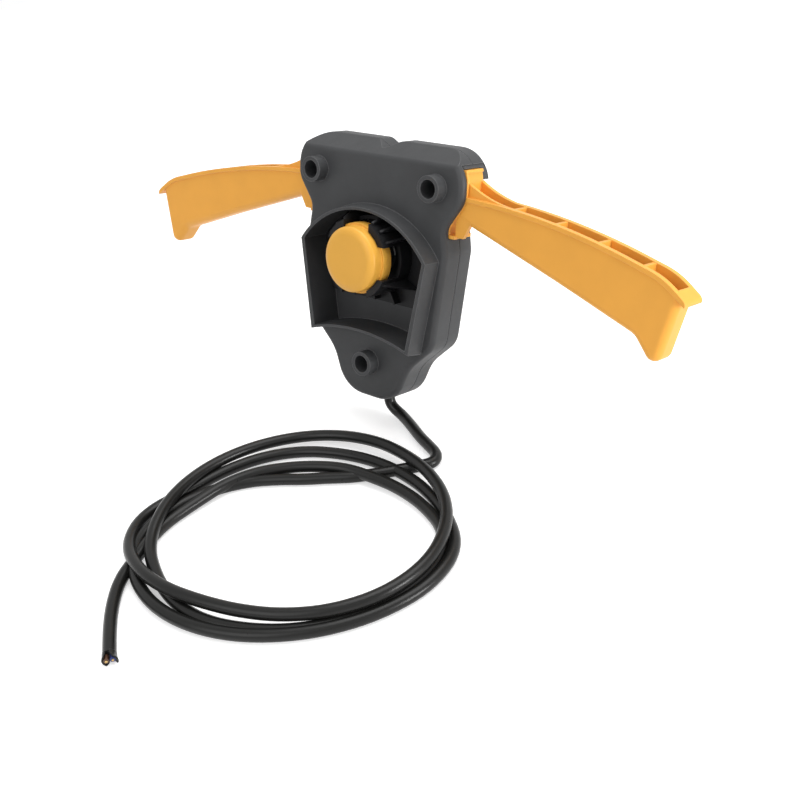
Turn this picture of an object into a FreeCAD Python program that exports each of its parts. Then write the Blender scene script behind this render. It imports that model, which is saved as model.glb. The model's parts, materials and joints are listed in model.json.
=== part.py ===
import FreeCAD, Part
import math
import os
import Sketcher
from collections import namedtuple
from types import SimpleNamespace
from FreeCAD import Placement, Rotation, Vector

# Operator presence switch: two hinged hand levers and a guarded thumb button in a two-shell housing.
#
# Every piece of the switch is drawn upright: x to the right, y to the rear, z up, with the origin on the
# flat back face at the height of the button's axis. Depths are counted forward from the back face, so a
# depth d lies at y = -d. The finished pieces then lean back together about the x axis, as on a sloping
# handlebar. The cable lies on a level floor below the switch and is drawn where it lies.

SIZES = {
    # stance
    "lean": 15,
    # housing outline, seen from the front
    "top_height": 62,
    "valley_deep": 4.5,
    "valley_half": 8,
    "valley_round": 2.5,
    "shoulder_round": 7,
    "lobe_half": 59,
    "lobe_round": 18,
    "lobe_foot": 36.5,
    "lobe_foot_round": 12,
    "neck_inset": 10.6,
    "neck_height": 21.5,
    "neck_round": 8,
    "hip_proud": 2.2,
    "hip_height": 8,
    "hip_round": 15,
    "toe_half": 45,
    "toe_drop": 45,
    "toe_round": 14,
    "waist_half": 28.5,
    "waist_drop": 60.5,
    "waist_round": 26,
    "nose_half": 19.2,
    "nose_drop": 83.5,
    "nose_round": 20,
    # housing depths and walls
    "face_depth": 24.5,
    "seam_depth": 11.5,
    "side_wall": 2.6,
    "face_wall": 3,
    "back_wall": 2.5,
    "face_round": 3,
    "slope_drop": 7.5,
    "slope_ledge": 0.5,
    "seam_round": 0.6,
    "back_round": 2.5,
    # guard and recess round the button
    "guard_proud": 10.3,
    "guard_wall": 2.2,
    "guard_draft": 5,
    "guard_root": 6,
    "arch_radius": 56,
    "arch_half": 45.5,
    "arch_height": 4,
    "sill_half": 36.5,
    "sill_drop": 48,
    "sill_radius": 114,
    "floor_depth": 14,
    "cavity_arch": 60,
    "cavity_foot": 16.5,
    "cavity_nose_half": 26,
    "cavity_nose_rise": 7,
    "cavity_nose_tip": 14.5,
    # mounting bosses and bolts
    "bolt_inset": 17,
    "bolt_height": 42.5,
    "low_bolt_inset": 21.5,
    "boss_radius": 7.05,
    "boss_proud": 7,
    "bore_radius": 4.9,
    "bolt_radius": 2.75,
    "bolt_seat": 5,
    # case screws
    "screw_half": 24,
    "screw_inset": 12,
    "low_screw_inset": 24.5,
    "post_radius": 4.6,
    "pilot_radius": 1.4,
    "pilot_length": 9,
    "screw_hole_radius": 1.75,
    "head_radius": 3,
    "head_height": 2.2,
    "head_sink": 3.5,
    "head_play": 0.35,
    "thread_radius": 1.38,
    # lever: hub and hinge
    "pin_inset": 17,
    "pin_depth": 11,
    "pin_radius": 2,
    "pin_fit": 0.02,
    "pin_run": 0.04,
    "knuckle_radius": 4.5,
    "knuckle_low": 17,
    "knuckle_low_height": 3.5,
    "knuckle_top": 31,
    "knuckle_top_height": 5.5,
    "lug_gap": 0.3,
    "lug_height": 2.1,
    "lug_half": 3.5,
    "lug_reach": 15,
    "web_half": 3,
    "web_reach": 8.4,
    "arm_radius": 7.5,
    "arm_end": 9.2,
    "arm_height": 3.4,
    "arm_thick": 3,
    "arm_offset": 3,
    # lever: hub flange in the side window
    "flange_inset": 9.1,
    "flange_foot": 16.6,
    "flange_wall": 2.4,
    "flange_back": 5.9,
    "rim_wide": 1.4,
    "rim_sink": 0.8,
    "foot_reach": 4.2,
    "foot_thick": 1.8,
    "window_gap": 0.5,
    "window_head": 2.2,
    "window_inset": 9.3,
    "window_waist": 33,
    "window_low_inset": 3.8,
    "window_low_top": 27,
    "notch_inset": 8.5,
    "notch_skin": 1.5,
    # lever: open box beam, swung a little forward about its root
    "beam_swing": 2,
    "beam_front": 19.5,
    "beam_deep": 15,
    "beam_wall": 2.4,
    "beam_root_inset": 6,
    "beam_root_top": 39.4,
    "beam_root_foot": 26.8,
    "shoulder_reach": 102,
    "shoulder_top": 23.6,
    "beam_top_bow": 400,
    "beam_bend_reach": 115.5,
    "beam_bend_top": 19.9,
    "beam_bend_round": 40,
    "beam_end_reach": 125.3,
    "beam_end_top": 12,
    "hook_tip_reach": 117.5,
    "hook_drop": 21.3,
    "hook_heel_reach": 111.5,
    "hook_heel_drop": 20.8,
    "hook_start_reach": 103,
    "hook_start_drop": 10.5,
    "hook_start_round": 8,
    "belly_reach": 61,
    "belly_height": 4.4,
    "belly_round": 600,
    "root_web_foot": 17.6,
    "root_web_reach": 4.5,
    "root_web_inset": 0.7,
    "root_web_sink": 0.3,
    "hook_round": 4.6,
    "beam_round": 4,
    "trough_reach": 3,
    "trough_floor": 4,
    "rib_reach": 28,
    "rib_pitch": 25.2,
    "rib_thick": 2,
    "rib_sink": 0.3,
    "lip_height": 2.2,
    "lip_proud": 0.8,
    "lip_overhang": 3.9,
    "lip_tip_top": 9.8,
    "gusset_drop": 6,
    "gusset_reach": 28,
    "gusset_bow": 70,
    "gusset_sink": 1.2,
    # button
    "button_front": 41.8,
    "button_radius": 18,
    "button_round": 5,
    "button_wall": 2.4,
    "skirt_radius": 19.4,
    "skirt_front": 34.8,
    "skirt_length": 4.8,
    "socket_radius": 6,
    "socket_length": 6,
    "stem_radius": 4,
    "stem_fit": 0.02,
    "stem_run": 0.08,
    "button_travel": 4.5,
    "coil_radius": 8,
    "coil_wire": 0.6,
    "coil_pitch": 4.4,
    # collar round the button
        "collar_drop": 27,
    "collar_thick": 3,
    "collar_gap": 0.4,
    "collar_round": 3,
    "crown_radius": 20.2,
    "crown_wall": 2,
    "tooth_radius": 18.5,
    "tooth_gap": 0.1,
    "tooth_thick": 1.6,
    "crown_slot": 18,
    "crown_base": 8,
    "collar_hole": 10.5,
    "fin_thick": 1.2,
    "fin_proud": 4.5,
    "fin_reach": 9,
    "fin_tip": 1,
    # contact set
    "bridge_half": 9,
    "bridge_tall": 5,
    "bridge_thick": 0.8,
    "contact_gap": 0.1,
    "contact_half": 7,
    "contact_radius": 2,
    "contact_tall": 0.5,
    "strip_wide": 4,
    "strip_thick": 0.5,
    "strip_drop": 15,
    "strip_top": 4,
    "block_base": 1.6,
    "block_half": 13,
    "block_tall": 18,
    "block_wall": 2,
    "block_play": 0.1,
    # microswitches
    "switch_long": 12.8,
    "switch_tall": 5.8,
    "switch_inset": 5.7,
    "switch_height": 29.8,
    "switch_back": 10.9,
    "switch_front": 17,
    "plunger_radius": 1.25,
    "plunger_run": 0.05,
    "plunger_dome": 1.6,
    "plunger_gap": 0.05,
    "plunger_inside": 2.3,
    "plunger_hole": 4.3,
    "seat_inset": 1.4,
    "blade_long": 3,
    "blade_wide": 3,
    "blade_thick": 0.5,
    "blade_pitch": 1.7,
    # lever springs
    "twist_radius": 3,
    "twist_wire": 0.4,
    "twist_pitch": 1,
    "twist_turns": 3.75,
    "twist_play": 0.2,
    # cable entry
    "cable_radius": 3.3,
    "cable_depth": 6,
    "entry_radius": 4.6,
    "grommet_fit": 0.03,
    "grommet_rim": 5.3,
    "grommet_rim_thick": 1.2,
    "sheath_gap": 2.4,
    "clamp_gap": 0.1,
    "clamp_tall": 5,
    "clamp_half": 9.4,
    "clamp_front": 11.3,
    "clamp_rest": 6.2,
    "clamp_saddle_fit": 0.04,
    "clamp_screw_half": 6.6,
    "clamp_post_radius": 2.4,
    "clamp_pilot_radius": 1,
    "clamp_hole_radius": 1.2,
    "clamp_head_radius": 2,
    "clamp_head_height": 1.4,
    "lead_radius": 1.1,
    "lead_half": 1.5,
    "lead_swing": 10.5,
    "lead_gap": 0.85,
    "lead_rise": 3.5,
    "lead_bend": 30,
    "lead_reach": 24,
    # cable on the floor
    "exit_run": 5.1,
    "ground_gap": 12.3,
    "coil_centre_x": 29,
    "coil_centre_y": -142,
    "coil_outer": 92,
    "coil_hole": 50,
    "coil_hole_x": 37,
    "coil_hole_y": -152,
    "coil_tall": 13.6,
    "coil_edge": 3,
    "core_radius": 1.35,
    "core_half": 1.55,
    "core_length": 3.5,
}

# Places where the cable turns on its way from the housing to the coil, and from the coil to its cut end:
# across, to the rear and above the floor, in millimetres. The first two points follow from the cable entry.
LEAD_ROUTE = [
    (3.0, -29.6, 6.6),
    (11.0, -30.4, 3.4),
    (23.0, -36.6, 3.4),
    (35.4, -43.6, 3.4),
    (46.0, -48.2, 3.4),
    (54.2, -52.2, 3.4),
    (57.4, -58.6, 3.4),
    (53.6, -65.0, 3.4),
]
TAIL_ROUTE = [
    (-24.5, -205.5, 3.4),
    (-18.5, -219.0, 3.4),
    (-6.5, -232.6, 3.4),
    (8.0, -245.2, 3.4),
    (20.6, -254.6, 3.4),
]
RUN_SHARE = 0.45

doc = FreeCAD.newDocument("operator_presence_switch")
sheet = doc.addObject("Spreadsheet::Sheet", "Sizes")
for row, (alias, number) in enumerate(SIZES.items(), 1):
    sheet.set(f"A{row}", alias)
    sheet.set(f"B{row}", str(number))
    sheet.setAlias(f"B{row}", alias)
doc.recompute()


class Measure:
    """A size: its value and the sheet expression that gives it, so sums of sizes stay bound to the sheet."""

    def __init__(self, value, text):
        self.value = value
        self.text = text

    def _with(self, other, sign, value):
        return Measure(value, f"({self.text} {sign} {other.text})")

    def __add__(self, other):
        other = measure(other)
        return self._with(other, "+", self.value + other.value)

    def __sub__(self, other):
        other = measure(other)
        return self._with(other, "-", self.value - other.value)

    def __mul__(self, other):
        other = measure(other)
        return self._with(other, "*", self.value * other.value)

    def __truediv__(self, other):
        other = measure(other)
        return self._with(other, "/", self.value / other.value)

    def __neg__(self):
        return Measure(-self.value, f"(-1 * {self.text})")

    def root(self):
        return Measure(math.sqrt(self.value), f"sqrt({self.text})")

    def sine(self):
        return Measure(math.sin(math.radians(self.value)), f"sin({self.text} * 1 deg)")

    __radd__ = __add__
    __rmul__ = __mul__


def measure(number):
    """A plain number as a measure; a measure stays as it is."""
    if isinstance(number, Measure):
        return number
    return Measure(float(number), f"({number})")


size = SimpleNamespace()
for alias in SIZES:
    setattr(size, alias, Measure(float(sheet.get(alias)), f"Sizes.{alias}"))

# Places that follow from other sizes: the hinge, hub and beam from the sides of the lobes, the valley,
# flange and upper screws from the top, and the lower bolt, the cable's end and the floor from the nose.
size.pin_half = size.lobe_half - size.pin_inset
size.bolt_half = size.lobe_half - size.bolt_inset
size.neck_half = size.lobe_half - size.neck_inset
size.hip_half = size.neck_half + size.hip_proud
size.window_inner = size.lobe_half - size.window_inset
size.window_low_inner = size.neck_half - size.window_low_inset
size.notch_inner = size.lobe_half - size.notch_inset
size.switch_end = size.pin_half - size.switch_inset
size.beam_root = size.lobe_half - size.beam_root_inset
size.trough_start = size.lobe_half + size.trough_reach
size.rib_first = size.lobe_half + size.rib_reach
size.gusset_end = size.lobe_half + size.gusset_reach
size.belly = size.lobe_half + size.belly_reach
size.hook_start = size.lobe_half + size.hook_start_reach
size.hook_heel = size.lobe_half + size.hook_heel_reach
size.hook_tip = size.lobe_half + size.hook_tip_reach
size.beam_shoulder = size.lobe_half + size.shoulder_reach
size.beam_bend = size.lobe_half + size.beam_bend_reach
size.beam_end = size.lobe_half + size.beam_end_reach
size.valley_height = size.top_height - size.valley_deep
size.flange_top = size.top_height - size.flange_inset
size.gusset_top = size.flange_top - size.gusset_drop
size.face_top = size.top_height - size.slope_drop
size.window_top = size.flange_top + size.window_head
size.notch_top = size.gusset_top + size.window_gap
size.screw_height = size.top_height - size.screw_inset
size.screw_drop = size.nose_drop - size.low_screw_inset
size.low_bolt_drop = size.nose_drop - size.low_bolt_inset
size.cavity_nose_top = size.low_bolt_drop - size.cavity_nose_rise
size.lead_turn = size.low_bolt_drop + size.boss_radius + size.lead_radius + size.lead_gap
size.lead_pass = size.lead_turn - size.lead_rise
size.sheath_drop = size.lead_turn + size.sheath_gap
size.clamp_drop = size.sheath_drop + size.clamp_gap + size.clamp_tall / 2
size.ground_drop = size.nose_drop + size.ground_gap

ZERO = measure(0)
Corner = namedtuple("Corner", "across up radius bow", defaults=(None, None))
PIECES = []


def bind(thing, property_name, amount):
    """Tie a property to its size in the sheet."""
    thing.setExpression(property_name, measure(amount).text)


def new_body(name):
    """A sub-part's body, kept in the list of pieces."""
    body = doc.addObject("PartDesign::Body", name)
    PIECES.append(body)
    return body


def sketch_on(body, name, role, offset, shift=ZERO):
    """A sketch on one of the body's planes, moved off it by an offset and along its first axis."""
    sketch = body.newObject("Sketcher::SketchObject", name)
    plane = next(feature for feature in body.Origin.OriginFeatures if feature.Role == role)
    sketch.AttachmentSupport = [(plane, "")]
    sketch.MapMode = "FlatFace"
    bind(sketch, "AttachmentOffset.Base.x", shift)
    bind(sketch, "AttachmentOffset.Base.z", offset)
    return sketch


def front_sketch(body, name, depth):
    """A sketch seen from the front, its plane at a depth ahead of the back face."""
    return sketch_on(body, name, "XZ_Plane", measure(depth))


def swung_sketch(body, name, depth, side):
    """A front sketch for a lever, turned forward by the beam's swing about an upright line at its root."""
    sketch = front_sketch(body, name, depth - size.beam_root * size.beam_swing.sine())
    sketch.AttachmentOffset = Placement(sketch.AttachmentOffset.Base, Rotation(Vector(0, -side, 0), 1))
    bind(sketch, "AttachmentOffset.Rotation.Angle", size.beam_swing)
    return sketch


def level_sketch(body, name, height):
    """A sketch seen from above, its plane at a height."""
    return sketch_on(body, name, "XY_Plane", measure(height))


def fix_point(sketch, geometry, end, across, up):
    """Hold a point at its two coordinates."""
    for kind, axis, amount in (("DistanceX", -2, across), ("DistanceY", -1, up)):
        if abs(amount.value) < 1e-9:
            sketch.addConstraint(Sketcher.Constraint("PointOnObject", geometry, end, axis))
        else:
            index = sketch.addConstraint(Sketcher.Constraint(kind, -1, 1, geometry, end, amount.value))
            sketch.setExpression(f"Constraints[{index}]", amount.text)


def fix_radius(sketch, geometry, radius):
    """Hold an arc's or circle's radius."""
    index = sketch.addConstraint(Sketcher.Constraint("Radius", geometry, radius.value))
    sketch.setExpression(f"Constraints[{index}]", radius.text)


def draw_circle(sketch, across, up, radius):
    """A circle by its centre and radius."""
    across, up, radius = measure(across), measure(up), measure(radius)
    circle = Part.Circle(Vector(across.value, up.value, 0), Vector(0, 0, 1), radius.value)
    geometry = sketch.addGeometry(circle)
    fix_point(sketch, geometry, 3, across, up)
    fix_radius(sketch, geometry, radius)


def arc_between(sketch, start, end, centre, leftward):
    """An arc from start to end about a centre; returns its number and which of its ends is start and end."""
    first, last = (start, end) if leftward else (end, start)
    circle = Part.Circle(centre, Vector(0, 0, 1), (start - centre).Length)
    angles = [math.atan2(point.y - centre.y, point.x - centre.x) for point in (first, last)]
    geometry = sketch.addGeometry(Part.ArcOfCircle(circle, angles[0], angles[1]))
    return (geometry, 1, 2) if leftward else (geometry, 2, 1)


def corner_rounding(before, corner, after, radius):
    """Tangent points and centre of the arc that rounds a corner, and whether the outline turns left."""
    arriving = (corner - before).normalize()
    leaving = (after - corner).normalize()
    turn = math.atan2(arriving.x * leaving.y - arriving.y * leaving.x, arriving.dot(leaving))
    reach = radius * math.tan(abs(turn) / 2)
    start = corner - arriving * reach
    inward = Vector(-arriving.y, arriving.x, 0) * math.copysign(1, turn)
    return start, corner + leaving * reach, start + inward * radius, turn > 0


def draw_outline(sketch, corners):
    """A closed outline through corners. A radius rounds a corner with a tangent arc. A bow makes the side
    after a sharp corner an arc of that radius, bulging to the left of travel, or right if negative."""
    corners = [Corner(measure(c.across), measure(c.up), c.radius, c.bow) for c in corners]
    points = [Vector(c.across.value, c.up.value, 0) for c in corners]
    count = len(corners)
    arcs = {}
    for i, corner in enumerate(corners):
        if corner.radius is not None:
            around = points[i - 1], points[i], points[(i + 1) % count]
            arcs[i] = corner_rounding(*around, measure(corner.radius).value)
    sides = []
    for i, corner in enumerate(corners):
        following = (i + 1) % count
        start = arcs[i][1] if i in arcs else points[i]
        end = arcs[following][0] if following in arcs else points[following]
        if corner.bow is None:
            sides.append((sketch.addGeometry(Part.LineSegment(start, end)), 1, 2))
            continue
        bow = measure(corner.bow)
        leftward = bow.value < 0
        chord = end - start
        height = math.sqrt(bow.value ** 2 - (chord.Length / 2) ** 2)
        normal = Vector(-chord.y, chord.x, 0).normalize() * (height if leftward else -height)
        sides.append(arc_between(sketch, start, end, (start + end) * 0.5 + normal, leftward))
        fix_radius(sketch, sides[-1][0], -bow if leftward else bow)
    for i, corner in enumerate(corners):
        before, _, before_end = sides[i - 1]
        after, after_start, _ = sides[i]
        if i not in arcs:
            sketch.addConstraint(Sketcher.Constraint("Coincident", before, before_end, after, after_start))
            fix_point(sketch, after, after_start, corner.across, corner.up)
            continue
        start, end, centre, leftward = arcs[i]
        arc, arc_start, arc_end = arc_between(sketch, start, end, centre, leftward)
        sketch.addConstraint(Sketcher.Constraint("Tangent", before, before_end, arc, arc_start))
        sketch.addConstraint(Sketcher.Constraint("Tangent", arc, arc_end, after, after_start))
        fix_radius(sketch, arc, measure(corner.radius))
        point = sketch.addGeometry(Part.Point(points[i]), True)
        sketch.addConstraint(Sketcher.Constraint("PointOnObject", point, 1, before))
        sketch.addConstraint(Sketcher.Constraint("PointOnObject", point, 1, after))
        fix_point(sketch, point, 1, corner.across, corner.up)


def draw_box(sketch, low, high):
    """A rectangle between two opposite corners."""
    (left, bottom), (right, top) = low, high
    places = (left, bottom), (right, bottom), (right, top), (left, top)
    draw_outline(sketch, [Corner(across, up) for across, up in places])


def pad(body, sketch, length, reverse=False, taper=None):
    """Material added from a sketch."""
    feature = body.newObject("PartDesign::Pad", f"{sketch.Name}_pad")
    feature.Profile = sketch
    feature.Reversed = reverse
    bind(feature, "Length", length)
    if taper is not None:
        bind(feature, "TaperAngle", taper)
    body.Tip = feature
    return feature


def pocket(body, sketch, length, reverse=False):
    """Material taken away behind a sketch, or ahead of it when reversed; stops the build if nothing goes."""
    doc.recompute()
    before = body.Shape.Volume
    feature = body.newObject("PartDesign::Pocket", f"{sketch.Name}_pocket")
    feature.Profile = sketch
    feature.Reversed = reverse
    bind(feature, "Length", length)
    body.Tip = feature
    doc.recompute()
    if body.Shape.Volume > before - 1e-3:
        raise RuntimeError(f"{sketch.Name} cuts nothing")
    return feature


def fillet(body, radius, chosen):
    """Round the edges of the body's last feature that a test chooses."""
    doc.recompute()
    base = body.Tip
    names = [f"Edge{i}" for i, edge in enumerate(base.Shape.Edges, 1) if chosen(edge)]
    feature = body.newObject("PartDesign::Fillet", f"{body.Name}_fillet")
    feature.Base = (base, names)
    bind(feature, "Radius", radius)
    body.Tip = feature
    return feature


def revolve(body, sketch):
    """A full turn about the sketch's own vertical axis."""
    feature = body.newObject("PartDesign::Revolution", f"{sketch.Name}_turn")
    feature.Profile = sketch
    feature.ReferenceAxis = (sketch, ["V_Axis"])
    feature.Angle = 360
    body.Tip = feature
    return feature


def groove(body, sketch):
    """Material taken away by a full turn about the sketch's own vertical axis."""
    feature = body.newObject("PartDesign::Groove", f"{sketch.Name}_groove")
    feature.Profile = sketch
    feature.ReferenceAxis = (sketch, ["V_Axis"])
    feature.Angle = 360
    body.Tip = feature
    return feature


def wind(body, sketch, pitch, turns, left_handed=False):
    """A wire wound about the sketch's own vertical axis."""
    feature = body.newObject("PartDesign::AdditiveHelix", f"{sketch.Name}_coil")
    feature.Profile = sketch
    feature.ReferenceAxis = (sketch, ["V_Axis"])
    feature.Mode = "pitch-turns-angle"
    feature.LeftHanded = left_handed
    bind(feature, "Pitch", pitch)
    bind(feature, "Turns", turns)
    body.Tip = feature
    return feature


def cylinder(name, radius, length, base, direction):
    """A round bar from a base point along a direction."""
    bar = doc.addObject("Part::Cylinder", name)
    bind(bar, "Radius", radius)
    bind(bar, "Height", length)
    bar.Placement = Placement(Vector(), Rotation(Vector(0, 0, 1), direction))
    for axis, amount in zip("xyz", base):
        bind(bar, f"Placement.Base.{axis}", amount)
    return bar


def block(name, low, high):
    """A box between two opposite corners."""
    box = doc.addObject("Part::Box", name)
    for axis, side, start, end in zip("xyz", ("Length", "Width", "Height"), low, high):
        bind(box, side, measure(end) - start)
        bind(box, f"Placement.Base.{axis}", start)
    return box


def fuse(name, shapes):
    """Several shapes as one, or as a group where they stand apart."""
    together = doc.addObject("Part::MultiFuse", name)
    together.Shapes = shapes
    return together


def join(name, shapes):
    """A sub-part made of several shapes."""
    piece = fuse(name, shapes)
    PIECES.append(piece)
    return piece


def cut(name, base, tool):
    """One shape less another."""
    piece = doc.addObject("Part::Cut", name)
    piece.Base = base
    piece.Tool = tool
    PIECES.append(piece)
    return piece


# Directions of the fins round the button's collar, in degrees; the low ones keep clear of the thumb below.
TALL_FINS = (-30, 30, 47, 64, 116, 133, 150, 210)
LOW_FINS = (-120, -90, -60)

REARWARD = Vector(0, 1, 0)
FORWARD = Vector(0, -1, 0)
UPWARD = Vector(0, 0, 1)


def mirrored(right_half):
    """The left half of an outline from its right half, in the order that goes on round."""
    return [Corner(-measure(c.across), c.up, c.radius, c.bow) for c in reversed(right_half)]


def housing_outline():
    """Outline of both shells: a valley on top, two lobes, a neck, and flanks that sweep to a nose."""
    right = [
        Corner(size.valley_half, size.top_height, size.shoulder_round),
        Corner(size.lobe_half, size.top_height, size.lobe_round),
        Corner(size.lobe_half, size.lobe_foot, size.lobe_foot_round),
        Corner(size.neck_half, size.neck_height, size.neck_round),
        Corner(size.hip_half, size.hip_height, size.hip_round),
        Corner(size.toe_half, -size.toe_drop, size.toe_round),
        Corner(size.waist_half, -size.waist_drop, size.waist_round),
        Corner(size.nose_half, -size.nose_drop, size.nose_round),
    ]
    return [Corner(ZERO, size.valley_height, size.valley_round)] + right + mirrored(right)


def upper_cavity_side(top, corner_round):
    """Right side of a shell's hollow, a wall inside the outline, from its top down to the neck."""
    wall = size.side_wall
    return [
        Corner(size.lobe_half - wall, top, corner_round),
        Corner(size.lobe_half - wall, size.lobe_foot + 0.3 * wall, size.lobe_foot_round - wall),
        Corner(size.neck_half - 1.05 * wall, size.neck_height + 0.25 * wall, size.neck_round),
    ]


def guard_outline(inset):
    """Rim of the guard, an inset inside its outer edge: arch, slanting sides and a sill that bows up."""
    return [
        Corner(-size.arch_half + 1.05 * inset, size.arch_height, bow=size.arch_radius - inset),
        Corner(size.arch_half - 1.05 * inset, size.arch_height),
        Corner(size.sill_half - 1.05 * inset, -size.sill_drop + inset, bow=-(size.sill_radius + inset)),
        Corner(-size.sill_half + 1.05 * inset, -size.sill_drop + inset),
    ]


def window_outline(side):
    """Opening in the housing's side for a lever's hub, clear of the mounting boss."""
    beyond = size.lobe_half + size.window_inner
    foot = size.flange_foot - size.window_gap
    return [
        Corner(side * beyond, size.window_top),
        Corner(side * size.window_inner, size.window_top),
        Corner(side * size.window_inner, size.window_waist),
        Corner(side * size.window_low_inner, size.window_low_top),
        Corner(side * size.window_low_inner, foot),
        Corner(side * beyond, foot),
    ]


def bolt_places():
    """Centres of the three mounting bosses."""
    return [
        (-size.bolt_half, size.bolt_height),
        (size.bolt_half, size.bolt_height),
        (ZERO, -size.low_bolt_drop),
    ]


def screw_places():
    """Centres of the four case screws."""
    return [
        (side * size.screw_half, height)
        for side in (-1, 1)
        for height in (size.screw_height, -size.screw_drop)
    ]


def circles_at(body, name, depth, places, radius):
    """A front sketch with one circle at each place."""
    sketch = front_sketch(body, name, depth)
    for across, up in places:
        draw_circle(sketch, across, up, radius)
    return sketch


def lies_in_plane(edge, depth):
    """Whether an edge lies in the plane at a depth."""
    box = edge.BoundBox
    return abs(box.YMin + depth) < 1e-4 and abs(box.YMax + depth) < 1e-4


def make_front_shell():
    """Front half: filleted block with the guard, its deep recess, hollows, bosses and side windows."""
    body = new_body("front_shell")
    block_sketch = front_sketch(body, "front_outline", size.seam_depth)
    draw_outline(block_sketch, housing_outline())
    pad(body, block_sketch, size.face_depth - size.seam_depth)
    over = size.top_height + size.slope_drop
    ahead = -size.face_depth - size.slope_drop
    slope_back = -size.seam_depth - size.slope_ledge
    slope = sketch_on(body, "top_slope", "YZ_Plane", 2 * size.lobe_half)
    draw_outline(slope, [
        Corner(-size.face_depth, size.face_top),
        Corner(slope_back, size.top_height),
        Corner(slope_back, over),
        Corner(ahead, over),
        Corner(ahead, size.face_top),
    ])
    pocket(body, slope, 4 * size.lobe_half)
    fillet(body, size.face_round, lambda edge: lies_in_plane(edge, size.face_depth.value))
    fillet(body, size.seam_round, lambda edge: lies_in_plane(edge, size.seam_depth.value))

    rim_depth = size.face_depth + size.guard_proud
    rim = front_sketch(body, "guard_rim", rim_depth)
    draw_outline(rim, guard_outline(ZERO))
    pad(body, rim, size.guard_proud + size.guard_root, reverse=True, taper=size.guard_draft)
    recess = front_sketch(body, "guard_recess", rim_depth)
    draw_outline(recess, guard_outline(size.guard_wall))
    pocket(body, recess, rim_depth - size.floor_depth)

    hollow_deep = size.face_depth - size.seam_depth - size.face_wall
    lug_left = size.pin_half - size.lug_half - size.window_gap
    lug_foot = size.knuckle_low - 2 * size.lug_gap - size.lug_height - size.window_gap / 2
    right = upper_cavity_side(size.face_top - size.side_wall / 2, size.lobe_round / 2) + [
        Corner(size.neck_half - 1.05 * size.side_wall, lug_foot),
        Corner(lug_left, lug_foot),
        Corner(lug_left, size.cavity_foot, bow=-size.cavity_arch),
    ]
    left = mirrored(right)
    left[0] = Corner(left[0].across, left[0].up)
    hollow = front_sketch(body, "upper_hollow", size.seam_depth)
    draw_outline(hollow, right + left)
    pocket(body, hollow, hollow_deep, reverse=True)
    nose_foot = -size.nose_drop + size.face_wall
    nose_right = [
        Corner(size.cavity_nose_half, -size.cavity_nose_top),
        Corner(size.cavity_nose_tip, nose_foot, size.nose_round / 2),
    ]
    nose = front_sketch(body, "nose_hollow", size.seam_depth)
    draw_outline(nose, nose_right + mirrored(nose_right))
    pocket(body, nose, hollow_deep, reverse=True)

    boss_front = size.face_depth + size.boss_proud
    boss_length = boss_front - size.seam_depth
    bosses = circles_at(body, "bosses", boss_front, bolt_places(), size.boss_radius)
    pad(body, bosses, boss_length, reverse=True)
    posts = circles_at(body, "front_posts", size.seam_depth, screw_places(), size.post_radius)
    pad(body, posts, hollow_deep + size.face_wall / 2)
    seats = front_sketch(body, "switch_seats", size.switch_front)
    for side in (-1, 1):
        inner = size.switch_end - size.switch_long + size.seat_inset
        half_tall = size.switch_tall / 2 - size.seat_inset / 2
        draw_box(seats, (side * inner, size.switch_height - half_tall),
                 (side * (size.switch_end - size.seat_inset), size.switch_height + half_tall))
    pad(body, seats, size.face_depth - size.face_wall / 2 - size.switch_front)

    pocket(body, circles_at(body, "head_bores", boss_front, bolt_places(), size.bore_radius),
           boss_length - size.bolt_seat)
    pocket(body, circles_at(body, "bolt_holes", boss_front, bolt_places(), size.bolt_radius), boss_length)
    pocket(body, circles_at(body, "pilot_holes", size.seam_depth, screw_places(), size.pilot_radius),
           size.pilot_length, reverse=True)
    stem_hole = front_sketch(body, "stem_hole", size.floor_depth)
    draw_circle(stem_hole, ZERO, ZERO, size.stem_radius + size.stem_run)
    pocket(body, stem_hole, size.floor_depth - size.seam_depth)
    for side, name in ((-1, "left"), (1, "right")):
        window = front_sketch(body, f"front_window_{name}", size.seam_depth)
        draw_outline(window, window_outline(side))
        window_front = size.beam_front + size.lip_proud + size.window_gap
        pocket(body, window, window_front - size.seam_depth, reverse=True)


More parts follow.
